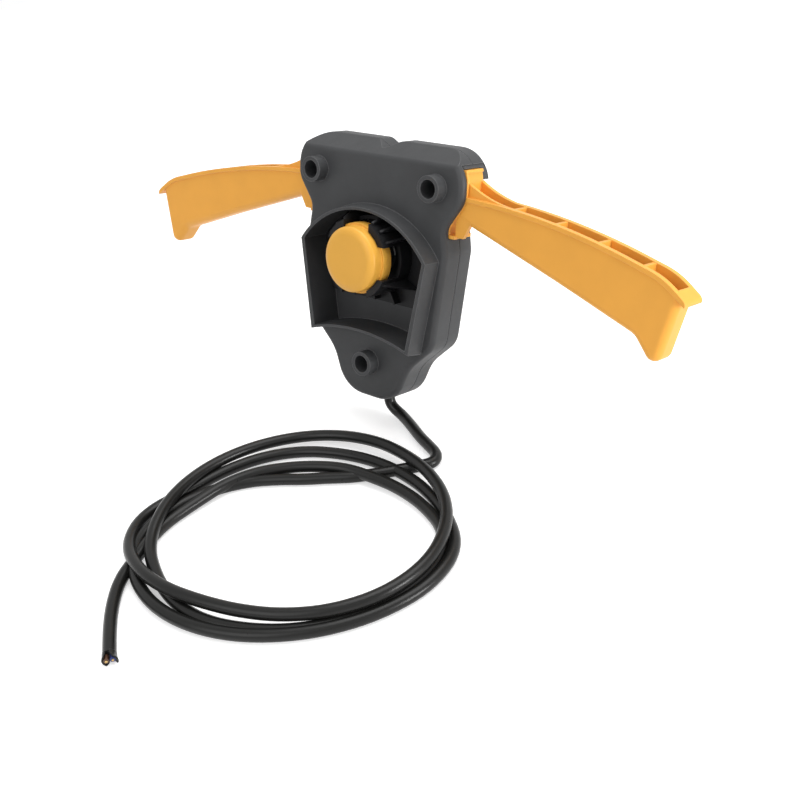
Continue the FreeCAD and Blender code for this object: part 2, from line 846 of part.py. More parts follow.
def make_rear_shell():
    """Back half: hollow pan with bolt tubes, screw posts, hinge lugs, cable entry and lever notches."""
    body = new_body("rear_shell")
    outline = front_sketch(body, "rear_outline", ZERO)
    draw_outline(outline, housing_outline())
    pad(body, outline, size.seam_depth)
    fillet(body, size.back_round, lambda edge: lies_in_plane(edge, 0))
    fillet(body, size.seam_round, lambda edge: lies_in_plane(edge, size.seam_depth.value))
    wall = size.side_wall
    top = size.top_height - wall
    flank = upper_cavity_side(top, size.lobe_round - wall)
    right = [Corner(size.valley_half + 0.3 * wall, top)] + flank + [
        Corner(size.hip_half - wall, size.hip_height, size.hip_round),
        Corner(size.toe_half - 1.05 * wall, -size.toe_drop + 0.3 * wall, size.toe_round - wall),
        Corner(size.waist_half - 0.8 * wall, -size.waist_drop + 0.55 * wall, size.waist_round + wall),
        Corner(size.nose_half - 0.6 * wall, -size.nose_drop + wall, size.nose_round - wall),
    ]
    hollow = front_sketch(body, "rear_hollow", size.seam_depth)
    valley = Corner(ZERO, size.valley_height - 1.2 * wall)
    draw_outline(hollow, [valley] + right + mirrored(right))
    pocket(body, hollow, size.seam_depth - size.back_wall)

    inside_wall = size.back_wall / 2
    standing = size.seam_depth - inside_wall
    pad(body, circles_at(body, "bolt_tubes", inside_wall, bolt_places(), size.boss_radius), standing)
    pad(body, circles_at(body, "rear_posts", inside_wall, screw_places(), size.post_radius), standing)
    clamp_places = [(side * size.clamp_screw_half, -size.clamp_drop) for side in (-1, 1)]
    pad(body, circles_at(body, "clamp_posts", inside_wall, clamp_places, size.clamp_post_radius),
        size.clamp_rest - inside_wall)
    lugs = front_sketch(body, "hinge_lugs", inside_wall)
    low_top = size.knuckle_low - size.lug_gap
    high_foot = size.knuckle_top + size.lug_gap
    for side in (-1, 1):
        for foot, top in ((low_top - size.lug_height, low_top), (high_foot, high_foot + size.lug_height)):
            draw_box(lugs, (side * (size.pin_half - size.lug_half), foot),
                     (side * (size.pin_half + size.lug_half), top))
    pad(body, lugs, size.lug_reach - inside_wall)

    for name, places, radius, deep in (
            ("rear_bolt_holes", bolt_places(), size.bolt_radius, size.seam_depth),
            ("screw_holes", screw_places(), size.screw_hole_radius, size.seam_depth),
            ("screw_sinks", screw_places(), size.head_radius + size.head_play, size.head_sink)):
        pocket(body, circles_at(body, name, ZERO, places, radius), deep, reverse=True)
    pocket(body, circles_at(body, "clamp_pilots", size.clamp_rest, clamp_places, size.clamp_pilot_radius),
           size.clamp_rest - inside_wall)
    pins = level_sketch(body, "pin_holes", high_foot + size.lug_height)
    for side in (-1, 1):
        draw_circle(pins, side * size.pin_half, -size.pin_depth, size.pin_radius + size.pin_fit)
    pocket(body, pins, high_foot - low_top + 2 * size.lug_height)
    entry = level_sketch(body, "cable_entry", -size.nose_drop - size.side_wall)
    draw_circle(entry, ZERO, -size.cable_depth, size.entry_radius)
    pocket(body, entry, 2.3 * size.side_wall, reverse=True)
    for side, name in ((-1, "left"), (1, "right")):
        window = front_sketch(body, f"rear_window_{name}", size.seam_depth)
        draw_outline(window, window_outline(side))
        pocket(body, window, size.seam_depth - size.back_wall)
        beyond = size.lobe_half + size.window_inner
        for place, foot, top, deep in (
                ("low", size.flange_foot - size.window_gap, size.notch_top, size.seam_depth),
                ("high", size.notch_top, size.window_top, size.seam_depth - size.notch_skin)):
            notch = front_sketch(body, f"{place}_notch_{name}", size.seam_depth)
            draw_box(notch, (side * size.notch_inner, foot), (side * beyond, top))
            pocket(body, notch, deep)


def beam_outline(side):
    """Lever beam seen from the front: bowed top and bottom edges and a finger hook at the outer end."""
    return [
        Corner(side * size.beam_root, size.beam_root_top, bow=side * size.beam_top_bow),
        Corner(side * size.beam_shoulder, size.shoulder_top),
        Corner(side * size.beam_bend, size.beam_bend_top, size.beam_bend_round),
        Corner(side * size.beam_end, size.beam_end_top),
        Corner(side * size.hook_tip, -size.hook_drop, size.hook_round),
        Corner(side * size.hook_heel, -size.hook_heel_drop, size.hook_round),
        Corner(side * size.hook_start, -size.hook_start_drop, size.hook_start_round),
        Corner(side * size.belly, size.belly_height, size.belly_round),
        Corner(side * size.beam_root, size.beam_root_foot),
    ]


def lip_outline(side):
    """Band along the lever's top edge that runs on past the end wall as a small lip."""
    drop = size.lip_height
    tip = size.beam_end + size.lip_overhang
    return [
        Corner(side * size.beam_root, size.beam_root_top, bow=side * size.beam_top_bow),
        Corner(side * size.beam_shoulder, size.shoulder_top),
        Corner(side * size.beam_bend, size.beam_bend_top, size.beam_bend_round),
        Corner(side * tip, size.lip_tip_top),
        Corner(side * (tip - 0.6 * drop), size.lip_tip_top - 0.8 * drop),
        Corner(side * (size.beam_bend - 0.5 * drop), size.beam_bend_top - drop, size.beam_bend_round - drop),
        Corner(side * (size.beam_shoulder - 0.3 * drop), size.shoulder_top - drop,
               bow=-side * (size.beam_top_bow - drop)),
        Corner(side * size.beam_root, size.beam_root_top - drop),
    ]


def flange_crown():
    """Where the flange's outer side ends at the top, just inside the lobe."""
    return size.lobe_half - 0.45 * size.flange_wall


def flange_outline(side, sink):
    """Hub flange, a curved plate in the side window, its outer side sunk inside the housing's side."""
    wall = size.flange_wall
    crown = flange_crown()
    outer = [
        Corner(side * (crown - sink), size.flange_top),
        Corner(side * (size.lobe_half - sink), size.flange_top - 2 * wall),
        Corner(side * (size.lobe_half - sink), size.lobe_foot + 0.3 * sink, size.lobe_foot_round - sink),
        Corner(side * (size.neck_half - 1.05 * sink), size.neck_height + sink / 4, size.neck_round + sink),
        Corner(side * (size.neck_half + 0.3 * wall - 0.9 * sink), size.flange_foot),
    ]
    inner = [
        Corner(side * (size.neck_half - 0.75 * wall), size.flange_foot),
        Corner(side * (size.neck_half - 1.05 * wall), size.neck_height + wall / 4, size.neck_round + wall),
        Corner(side * (size.lobe_half - wall), size.lobe_foot + 0.3 * wall, size.lobe_foot_round - wall),
        Corner(side * (size.lobe_half - wall), size.flange_top - 2 * wall),
        Corner(side * (crown - 1.4 * wall), size.flange_top),
    ]
    return outer + inner


def beam_top_at(x):
    """Height of the lever's top edge: the line from root to shoulder, and the bow's rise over it."""
    slope = (size.beam_root_top - size.shoulder_top) / (size.beam_shoulder - size.beam_root)
    rise = (x - size.beam_root) * (size.beam_shoulder - x) / (2 * size.beam_top_bow)
    return size.beam_root_top - (x - size.beam_root) * slope + rise


def make_lever(side, name):
    """Hand lever: a trough-shaped beam with cross ribs, a hub flange with gussets, and hinge knuckles."""
    body = new_body(f"lever_{name}")
    front = size.beam_front
    beam = swung_sketch(body, f"beam_{name}", front, side)
    draw_outline(beam, beam_outline(side))
    pad(body, beam, size.beam_deep, reverse=True)

    forward = Rotation(UPWARD, -side * size.beam_swing.value).multVec(FORWARD)
    near_root = size.beam_root.value + size.beam_wall.value

    def on_lower_rim(edge):
        """Front and rear edges below the top line, out past the root."""
        box = edge.BoundBox
        depths = [point.dot(forward) for point in edge.discretize(5)]
        flat = max(depths) - min(depths) < 1e-4
        reaches_root = min(abs(box.XMin), abs(box.XMax)) < near_root
        above = box.ZMin > size.beam_end_top.value - 1e-4 and not reaches_root
        top_line = box.ZMin > size.beam_root_foot.value * 0.5 and box.ZMax > size.beam_root_top.value - 1e-4
        upright_root = box.XMax - box.XMin < 1e-4 and reaches_root
        return flat and not above and not top_line and not upright_root

    fillet(body, size.beam_round, on_lower_rim)
    lip = swung_sketch(body, f"lip_{name}", front + size.lip_proud, side)
    draw_outline(lip, lip_outline(side))
    pad(body, lip, size.beam_deep + 2 * size.lip_proud, reverse=True)
    inside = size.beam_deep - 2 * size.beam_wall
    trough = swung_sketch(body, f"trough_{name}", front - size.beam_wall, side)
    end_wall = 1.2 * size.beam_wall
    over = size.top_height
    draw_outline(trough, [
        Corner(side * size.trough_start, over),
        Corner(side * (size.beam_end - end_wall), over),
        Corner(side * (size.beam_end - end_wall), size.beam_end_top),
        Corner(side * (size.hook_tip - end_wall), -size.hook_start_drop),
        Corner(side * size.hook_start, -size.hook_start_drop + size.trough_floor),
        Corner(side * size.belly, size.belly_height + size.trough_floor),
        Corner(side * size.trough_start, beam_foot_at(size.trough_start) + size.trough_floor),
    ])
    pocket(body, trough, inside)
    ribs = swung_sketch(body, f"ribs_{name}", front - size.beam_wall, side)
    for number_along in range(4):
        middle = size.rib_first + number_along * size.rib_pitch
        draw_box(ribs, (side * (middle - size.rib_thick / 2), beam_foot_at(middle) + size.trough_floor / 2),
                 (side * (middle + size.rib_thick / 2), beam_top_at(middle) - size.rib_sink))
    pad(body, ribs, inside, reverse=True)

    flange_front = front + size.lip_proud
    flange_deep = flange_front - size.flange_back
    rim = front_sketch(body, f"rim_{name}", flange_front)
    draw_outline(rim, flange_outline(side, ZERO))
    pad(body, rim, size.rim_wide, reverse=True)
    flange = front_sketch(body, f"flange_{name}", flange_front)
    draw_outline(flange, flange_outline(side, size.rim_sink))
    pad(body, flange, flange_deep, reverse=True)
    crown = flange_crown()
    wall = size.flange_wall
    head = front_sketch(body, f"flange_head_{name}", flange_front)
    draw_outline(head, [
        Corner(side * (crown - 1.2 * wall), size.flange_top),
        Corner(side * crown, size.flange_top),
        Corner(side * (crown + 0.13 * wall), size.flange_top - size.rim_wide),
        Corner(side * (crown - 1.07 * wall), size.flange_top - size.rim_wide),
    ])
    pad(body, head, flange_deep, reverse=True)
    foot = front_sketch(body, f"flange_foot_{name}", flange_front)
    draw_box(foot, (side * (size.neck_half - 0.75 * wall), size.flange_foot),
             (side * (size.neck_half + size.foot_reach), size.flange_foot + size.foot_thick))
    pad(body, foot, flange_deep, reverse=True)
    root_web = swung_sketch(body, f"root_web_{name}", front - size.root_web_sink, side)
    web_start = size.beam_root - size.root_web_inset
    web_end = size.beam_root + size.root_web_reach
    web_top = size.beam_root_foot + 2 * size.beam_wall
    draw_outline(root_web, [
        Corner(side * web_start, web_top),
        Corner(side * (web_end + 2 * size.beam_wall), web_top),
        Corner(side * (web_end + 2 * size.beam_wall), size.beam_root_foot - size.root_web_sink),
        Corner(side * web_end, size.root_web_foot),
        Corner(side * web_start, size.root_web_foot),
    ])
    pad(body, root_web, size.beam_wall, reverse=True)
    gusset_root = size.lobe_half - size.flange_wall / 2
    for place, depth, thick in (("front", front - size.gusset_sink, size.beam_wall - size.gusset_sink / 2),
                                ("rear", front - size.beam_deep + size.beam_wall, size.beam_wall)):
        gusset = swung_sketch(body, f"gusset_{place}_{name}", depth, side)
        draw_outline(gusset, [
            Corner(side * gusset_root, size.gusset_top, bow=-side * size.gusset_bow),
            Corner(side * size.gusset_end, beam_top_at(size.gusset_end)),
            Corner(side * size.gusset_end, beam_top_at(size.gusset_end) - size.lip_height),
            Corner(side * gusset_root, size.beam_root_foot),
        ])
        pad(body, gusset, thick, reverse=True)

    pin_x = side * size.pin_half
    low_knuckle = level_sketch(body, f"low_knuckle_{name}", size.knuckle_low)
    high_foot = size.knuckle_top - size.knuckle_top_height
    high_knuckle = level_sketch(body, f"high_knuckle_{name}", high_foot)
    for sketch, tall, reach in ((low_knuckle, size.knuckle_low_height, size.web_reach - size.flange_wall),
                                (high_knuckle, size.knuckle_top_height, size.web_reach)):
        draw_circle(sketch, pin_x, -size.pin_depth, size.knuckle_radius)
        pad(body, sketch, tall)
        foot = size.knuckle_low if sketch is low_knuckle else high_foot
        web = level_sketch(body, f"{sketch.Name}_web", foot)
        draw_box(web, (pin_x, -size.pin_depth - size.web_half),
                 (pin_x + side * reach, -size.pin_depth + size.web_half))
        pad(body, web, tall)
    arm_foot = size.knuckle_top - size.arm_height
    arm = level_sketch(body, f"arm_{name}", arm_foot)
    draw_box(arm, (pin_x - side * size.arm_end, -size.pin_depth + size.arm_offset),
             (pin_x, -size.pin_depth + size.arm_offset + size.arm_thick))
    pad(body, arm, size.arm_height)
    bore = level_sketch(body, f"hinge_bore_{name}", size.knuckle_top)
    draw_circle(bore, pin_x, -size.pin_depth, size.pin_radius + size.pin_run)
    pocket(body, bore, size.knuckle_top - size.knuckle_low)


def beam_foot_at(x):
    """Height of the lever's lower edge, from the root to the belly and on to the hook."""
    if x.value < size.belly.value:
        fall = (size.beam_root_foot - size.belly_height) / (size.belly - size.beam_root)
        return size.beam_root_foot - (x - size.beam_root) * fall
    fall = (size.belly_height + size.hook_start_drop) / (size.hook_start - size.belly)
    return size.belly_height - (x - size.belly) * fall


def make_pivot_pin(side, name):
    """Steel pin between the two lugs of a hinge."""
    body = new_body(f"pivot_pin_{name}")
    foot = size.knuckle_low - size.lug_gap - size.lug_height
    round_bar = level_sketch(body, f"pin_round_{name}", foot)
    draw_circle(round_bar, side * size.pin_half, -size.pin_depth, size.pin_radius)
    pad(body, round_bar, size.knuckle_top + size.lug_gap + size.lug_height - foot)


def make_lever_spring(side, name):
    """Torsion spring round a hinge pin, with one leg on the back wall and one on the lever's flange."""
    body = new_body(f"lever_spring_{name}")
    start = size.knuckle_low + size.knuckle_low_height + size.twist_play + size.twist_wire
    wire = sketch_on(body, f"twist_wire_{name}", "XZ_Plane", size.pin_depth, side * size.pin_half)
    draw_circle(wire, side * size.twist_radius, start, size.twist_wire)
    wind(body, wire, size.twist_pitch, size.twist_turns, left_handed=side > 0)
    back_leg = front_sketch(body, f"back_leg_{name}", size.pin_depth)
    draw_circle(back_leg, side * (size.pin_half + size.twist_radius), start, size.twist_wire)
    pad(body, back_leg, size.pin_depth - size.back_wall - size.pin_run, reverse=True)
    end = start + size.twist_pitch * size.twist_turns
    side_leg = sketch_on(body, f"side_leg_{name}", "YZ_Plane", side * size.pin_half)
    draw_circle(side_leg, -size.pin_depth + size.twist_radius, end, size.twist_wire)
    pad(body, side_leg, size.web_reach - size.flange_wall - size.twist_wire, reverse=side < 0)


def make_microswitch(side, name):
    """Snap-action switch body with a hole for its plunger, and the plunger with a domed tip."""
    body = new_body(f"microswitch_{name}")
    half_tall = size.switch_tall / 2
    case = front_sketch(body, f"switch_case_{name}", size.switch_back)
    draw_box(case, (side * (size.switch_end - size.switch_long), size.switch_height - half_tall),
             (side * size.switch_end, size.switch_height + half_tall))
    pad(body, case, size.switch_front - size.switch_back)
    plunger_x = side * (size.pin_half - size.arm_radius)
    plunger_height = size.knuckle_top - size.arm_height / 2
    hole = front_sketch(body, f"plunger_hole_{name}", size.switch_back)
    draw_circle(hole, plunger_x, plunger_height, size.plunger_radius + size.plunger_run)
    pocket(body, hole, size.plunger_hole, reverse=True)

    plunger = new_body(f"switch_plunger_{name}")
    tip = -size.pin_depth + size.arm_offset - size.plunger_gap
    inner_end = -size.switch_back - size.plunger_inside
    dome = size.plunger_dome
    dome_drop = dome - (dome * dome - size.plunger_radius * size.plunger_radius).root()
    round_bar = sketch_on(plunger, f"plunger_round_{name}", "XY_Plane", plunger_height, plunger_x)
    draw_outline(round_bar, [
        Corner(ZERO, inner_end),
        Corner(size.plunger_radius, inner_end),
        Corner(size.plunger_radius, tip - dome_drop, bow=-dome),
        Corner(ZERO, tip),
    ])
    revolve(plunger, round_bar)


def make_switch_terminals():
    """Three solder blades on the inner end of each microswitch."""
    blades = []
    inner = size.switch_end - size.switch_long
    middle = -(size.switch_front + size.switch_back) / 2
    for side, name in ((-1, "left"), (1, "right")):
        for step in (-1, 0, 1):
            height = size.switch_height + step * size.blade_pitch
            low_x = inner - size.blade_long if side > 0 else -inner
            blades.append(block(
                f"blade_{name}_{step + 2}",
                (low_x, middle - size.blade_wide / 2, height - size.blade_thick / 2),
                (low_x + size.blade_long, middle + size.blade_wide / 2, height + size.blade_thick / 2)))
    join("switch_terminals", blades)


def contact_front():
    """Depth of the front of the fixed contacts."""
    return size.back_wall + size.block_base + size.strip_thick + size.contact_tall


def stem_end():
    """Depth of the stem's rear end, which leaves the button its travel before the contacts meet."""
    return contact_front() + size.contact_gap + size.button_travel + size.bridge_thick


def make_button():
    """Button cap with its skirt and stem socket, the push stem, and the return spring."""
    cap = new_body("button_cap")
    front = -size.button_front
    skirt_back = -size.skirt_front + size.skirt_length
    inner_front = front + size.button_wall
    socket_floor = inner_front + size.button_wall / 4
    profile = level_sketch(cap, "cap_profile", ZERO)
    draw_outline(profile, [
        Corner(ZERO, front),
        Corner(size.button_radius, front, size.button_round),
        Corner(size.button_radius, -size.skirt_front),
        Corner(size.skirt_radius, -size.skirt_front),
        Corner(size.skirt_radius, skirt_back),
        Corner(size.button_radius - size.button_wall, skirt_back),
        Corner(size.button_radius - size.button_wall, inner_front),
        Corner(size.socket_radius, inner_front),
        Corner(size.socket_radius, inner_front + size.socket_length),
        Corner(size.stem_radius + size.stem_fit, inner_front + size.socket_length),
        Corner(size.stem_radius + size.stem_fit, socket_floor),
        Corner(ZERO, socket_floor),
    ])
    revolve(cap, profile)

    stem = new_body("button_stem")
    round_bar = front_sketch(stem, "stem_round", stem_end())
    draw_circle(round_bar, ZERO, ZERO, size.stem_radius)
    pad(stem, round_bar, -socket_floor - stem_end())

    spring = new_body("button_spring")
    wire = level_sketch(spring, "button_wire", ZERO)
    start = -size.floor_depth - size.coil_wire
    draw_circle(wire, size.coil_radius, start, size.coil_wire)
    wound = size.button_front - size.button_wall - size.floor_depth - 2 * size.coil_wire
    coil = wind(spring, wire, size.coil_pitch, wound / size.coil_pitch)
    coil.Reversed = True


def make_collar():
    """Collar in the recess: a plate, a slotted crown, teeth over the button's skirt, and sloping fins."""
    body = new_body("button_collar")
    plate_front = size.floor_depth + size.collar_thick
    recess_radius = size.arch_radius - size.guard_wall
    recess_half = size.arch_half - 1.05 * size.guard_wall
    arch_centre = size.arch_height - (recess_radius * recess_radius - recess_half * recess_half).root()
    reach = recess_radius - size.collar_gap
    side_gap = 1.05 * size.collar_gap
    recess_tall = size.arch_height + size.sill_drop - size.guard_wall
    slant = (size.arch_half - size.sill_half) / recess_tall
    top_half = recess_half - side_gap
    foot_half = top_half - slant * (size.arch_height + size.collar_drop)
    plate = front_sketch(body, "collar_plate", size.floor_depth)
    draw_outline(plate, [
        Corner(-top_half, size.arch_height, bow=reach),
        Corner(top_half, size.arch_height),
        Corner(foot_half, -size.collar_drop, size.collar_round),
        Corner(-foot_half, -size.collar_drop, size.collar_round),
    ])
    pad(body, plate, size.collar_thick)
    tooth_back = -size.skirt_front - size.tooth_gap
    tooth_front = tooth_back - size.tooth_thick
    outer = size.crown_radius + size.crown_wall
    inside_plate = -plate_front + size.collar_thick / 2
    crown = level_sketch(body, "crown_profile", ZERO)
    draw_outline(crown, [
        Corner(size.crown_radius, inside_plate),
        Corner(outer, inside_plate),
        Corner(outer, tooth_front),
        Corner(size.tooth_radius, tooth_front),
        Corner(size.tooth_radius, tooth_back),
        Corner(size.crown_radius, tooth_back),
    ])
    revolve(body, crown)

    fin_root = size.crown_radius + size.crown_wall / 2
    half = size.fin_thick / 2
    for height, angles, proud in (("low", LOW_FINS, size.fin_proud),
                                  ("tall", TALL_FINS, -tooth_back - plate_front)):
        fins = front_sketch(body, f"{height}_fins", plate_front - size.collar_thick / 2)
        for angle in angles:
            across, up = math.cos(math.radians(angle)), math.sin(math.radians(angle))
            ends = [outer + size.fin_reach]
            if up > 0:
                drop = arch_centre * up
                ends.append((drop * drop + reach * reach - arch_centre * arch_centre).root() + drop - half)
            else:
                ends.append((size.collar_drop - 2 * size.collar_gap) / -up - half)
            end = min(ends, key=lambda length: length.value)
            draw_outline(fins, [
                Corner(across * fin_root - up * half, up * fin_root + across * half),
                Corner(across * fin_root + up * half, up * fin_root - across * half),
                Corner(across * end + up * half, up * end - across * half),
                Corner(across * end - up * half, up * end + across * half),
            ])
        pad(body, fins, proud + size.collar_thick / 2)
    fin_slope = level_sketch(body, "fin_slope", ZERO)
    tip_front = -plate_front - size.fin_tip
    draw_outline(fin_slope, [
        Corner(outer + half, tooth_front),
        Corner(outer + size.fin_reach, tip_front),
        Corner(outer + 2 * size.fin_reach, tip_front),
        Corner(outer + 2 * size.fin_reach, tooth_front),
    ])
    groove(body, fin_slope)
    slot_front = -tooth_front + size.tooth_thick
    slot_deep = slot_front - plate_front - size.crown_base
    half_slot = size.crown_slot / 2
    across_slot = front_sketch(body, "slot_across", slot_front)
    draw_box(across_slot, (-2 * outer, -half_slot), (2 * outer, half_slot))
    pocket(body, across_slot, slot_deep)
    upright_slot = front_sketch(body, "slot_upright", slot_front)
    draw_box(upright_slot, (-half_slot, -2 * outer), (half_slot, 2 * outer))
    pocket(body, upright_slot, slot_deep)
    hole = front_sketch(body, "collar_hole_round", plate_front)
    draw_circle(hole, ZERO, ZERO, size.collar_hole)
    pocket(body, hole, size.collar_thick)


def make_contacts():
    """Bridge on the button's stem, two fixed contacts under it, and the block that carries them."""
    bridge = new_body("contact_bridge")
    bar = front_sketch(bridge, "bridge_bar", stem_end() - size.bridge_thick)
    draw_box(bar, (-size.bridge_half, -size.bridge_tall / 2), (size.bridge_half, size.bridge_tall / 2))
    pad(bridge, bar, size.bridge_thick)

    carrier = new_body("contact_block")
    base = front_sketch(carrier, "block_base_box", size.back_wall)
    half_tall = size.block_tall / 2
    draw_box(base, (-size.block_half, -half_tall), (size.block_half, half_tall))
    pad(carrier, base, size.block_base)
    walls = front_sketch(carrier, "block_walls", size.back_wall + size.block_base / 2)
    for side in (-1, 1):
        draw_box(walls, (side * (size.block_half - size.block_wall), -half_tall),
                 (side * size.block_half, half_tall))
    pad(carrier, walls, size.seam_depth - size.block_play - size.back_wall - size.block_base / 2)

    shapes = []
    strip_back = -size.back_wall - size.block_base
    strip_front = strip_back - size.strip_thick
    for side, name in ((-1, "left"), (1, "right")):
        middle = side * size.contact_half
        shapes.append(block(f"strip_{name}",
                            (middle - size.strip_wide / 2, strip_front, -size.strip_drop),
                            (middle + size.strip_wide / 2, strip_back, size.strip_top)))
        shapes.append(cylinder(f"contact_head_{name}", size.contact_radius, size.contact_tall,
                               (middle, strip_front, ZERO), FORWARD))
    join("fixed_contacts", shapes)


def make_screws():
    """Four case screws put in from the back."""
    shapes = []
    for number_of, (across, up) in enumerate(screw_places(), 1):
        shapes.append(cylinder(f"case_head_{number_of}", size.head_radius, size.head_height,
                               (across, -size.head_sink, up), REARWARD))
        shapes.append(cylinder(f"case_shank_{number_of}", size.thread_radius,
                               size.seam_depth - size.head_sink + 0.8 * size.pilot_length,
                               (across, -size.head_sink, up), FORWARD))
    join("case_screws", shapes)


def make_cable_entry():
    """Grommet in the lower wall, and a saddle clamp with two screws on the posts behind it."""
    grommet = new_body("cable_grommet")
    profile = front_sketch(grommet, "grommet_profile", size.cable_depth)
    inner = size.cable_radius + size.grommet_fit
    outer = size.entry_radius - size.grommet_fit
    top = -size.nose_drop + size.side_wall
    foot = -size.nose_drop - size.grommet_rim_thick
    draw_outline(profile, [
        Corner(inner, foot),
        Corner(size.grommet_rim, foot),
        Corner(size.grommet_rim, -size.nose_drop),
        Corner(outer, -size.nose_drop),
        Corner(outer, top),
        Corner(inner, top),
    ])
    revolve(grommet, profile)

    low = -size.clamp_drop - size.clamp_tall / 2
    bar = block("clamp_bar", (-size.clamp_half, -size.clamp_front, low),
                (size.clamp_half, -size.clamp_rest, low + size.clamp_tall))
    tools = [cylinder("clamp_saddle", size.cable_radius + size.clamp_saddle_fit, 2 * size.clamp_tall,
                      (ZERO, -size.cable_depth, low - size.clamp_tall / 2), UPWARD)]
    screws = []
    for side, name in ((-1, "left"), (1, "right")):
        middle = side * size.clamp_screw_half
        tools.append(cylinder(f"clamp_hole_{name}", size.clamp_hole_radius, size.clamp_front,
                              (middle, -size.clamp_front, -size.clamp_drop), REARWARD))
        screws.append(cylinder(f"clamp_head_{name}", size.clamp_head_radius, size.clamp_head_height,
                               (middle, -size.clamp_front, -size.clamp_drop), FORWARD))
        screws.append(cylinder(f"clamp_shank_{name}", size.clamp_pilot_radius - size.pin_fit,
                               size.clamp_front - size.back_wall - size.pin_fit,
                               (middle, -size.clamp_front, -size.clamp_drop), REARWARD))
    cut("cable_clamp", bar, fuse("clamp_tools", tools))
    join("clamp_screws", screws)


def leaned(point):
    """Where a point of the upright switch lies once the switch leans back."""
    return Rotation(Vector(-1, 0, 0), size.lean.value).multVec(point)


def route_wire(points):
    """Straight runs between points, each corner rounded by an arc that takes a share of the shorter run."""
    edges = []
    start = points[0]
    for before, corner, after in zip(points, points[1:], points[2:]):
        arriving, leaving = corner - before, after - corner
        back = RUN_SHARE * min(arriving.Length, leaving.Length)
        arriving.normalize()
        leaving.normalize()
        turn = arriving.getAngle(leaving)
        if turn < 1e-3:
            continue
        radius = back / math.tan(turn / 2)
        first, last = corner - arriving * back, corner + leaving * back
        inward = (leaving - arriving).normalize()
        middle = corner + inward * (radius / math.cos(turn / 2) - radius)
        edges.append(Part.LineSegment(start, first).toShape())
        edges.append(Part.Arc(first, middle, last).toShape())
        start = last
    edges.append(Part.LineSegment(start, points[-1]).toShape())
    return Part.Wire(edges)


def make_tube(name, points, radius):
    """A round cord along a route."""
    wire = route_wire(points)
    ring = Part.Wire([Part.makeCircle(radius.value, points[0], points[1] - points[0])])
    solid = wire.makePipeShell([ring], True, True)
    expected = math.pi * radius.value ** 2 * wire.Length
    if abs(solid.Volume - expected) > 0.01 * expected:
        raise RuntimeError(f"{name} is pinched: {solid.Volume:.0f} of {expected:.0f}")
    piece = doc.addObject("Part::Feature", name)
    piece.Shape = solid
    PIECES.append(piece)
    print(f"{name} length {wire.Length:.0f}")


def make_inner_leads():
    """Two insulated wires from the cable's end, round the lower bolt tube, to the fixed contacts."""
    depth = -size.cable_depth.value
    for side, name in ((1, "lead_brown"), (-1, "lead_blue")):
        stops = [
            (size.lead_half, size.sheath_drop),
            (size.lead_half, size.lead_turn),
            (size.lead_swing, size.lead_pass),
            (size.lead_swing, size.lead_bend),
            (size.contact_half, size.lead_reach),
            (size.contact_half, size.strip_drop),
        ]
        points = [leaned(Vector(side * across.value, depth, -drop.value)) for across, drop in stops]
        make_tube(name, points, size.lead_radius)


def make_cable():
    """Cable from the entry to the floor, the coil it lies in, the tail to its end, and two bared cores."""
    depth = -size.cable_depth.value
    exit_drop = size.nose_drop + size.exit_run
    entry = [leaned(Vector(0, depth, -drop.value)) for drop in (size.sheath_drop, exit_drop)]
    floor = Vector(0, 0, -size.ground_drop.value)
    make_tube("cable_lead", entry + [floor + Vector(*point) for point in LEAD_ROUTE], size.cable_radius)
    tail = [floor + Vector(*point) for point in TAIL_ROUTE]
    make_tube("cable_tail", tail, size.cable_radius)
    coil = new_body("cable_coil")
    ring = level_sketch(coil, "coil_ring", -size.ground_drop)
    draw_circle(ring, size.coil_centre_x, size.coil_centre_y, size.coil_outer)
    draw_circle(ring, size.coil_hole_x, size.coil_hole_y, size.coil_hole)
    pad(coil, ring, size.coil_tall)
    fillet(coil, size.coil_edge, lambda edge: edge.BoundBox.ZMax - edge.BoundBox.ZMin < 1e-4)
    onward = (tail[-1] - tail[-2]).normalize()
    sideways = Vector(0, 0, 1).cross(onward)
    for side, name in ((-1, "core_brown"), (1, "core_blue")):
        start = tail[-1] + sideways * (side * size.core_half.value)
        make_tube(name, [start, start + onward * size.core_length.value], size.core_radius)


LEVEL_PIECES = (
    "cable_lead", "cable_coil", "cable_tail", "core_brown", "core_blue", "lead_brown", "lead_blue",
)

make_front_shell()
make_rear_shell()
for hand, hand_name in ((-1, "left"), (1, "right")):
    make_lever(hand, hand_name)
    make_pivot_pin(hand, hand_name)
    make_lever_spring(hand, hand_name)
    make_microswitch(hand, hand_name)
make_switch_terminals()
make_button()
make_collar()
make_contacts()
make_screws()
make_cable_entry()
make_inner_leads()
make_cable()
doc.recompute()

for piece in PIECES:
    piece.Label = piece.Name
    if piece.Label not in LEVEL_PIECES:
        piece.Placement = Placement(Vector(), Rotation(Vector(-1, 0, 0), size.lean.value))
        bind(piece, "Placement.Rotation.Angle", size.lean)
doc.recompute()

for thing in doc.Objects:
    if "Invalid" in thing.State or "Error" in thing.State:
        raise RuntimeError(f"{thing.Label} did not build: {thing.State}")
os.makedirs("parts", exist_ok=True)
for piece in PIECES:
    if piece.Shape.isNull() or not piece.Shape.isValid():
        raise RuntimeError(f"{piece.Label} has no valid shape")
    piece.Shape.exportStep(f"parts/{piece.Label}.step")
    print(f"{piece.Label} {piece.Shape.Volume:.0f} mm3 in {len(piece.Shape.Solids)} solid")
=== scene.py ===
import json
import math

import bmesh
import bpy
import numpy as np
from mathutils import Matrix, Vector


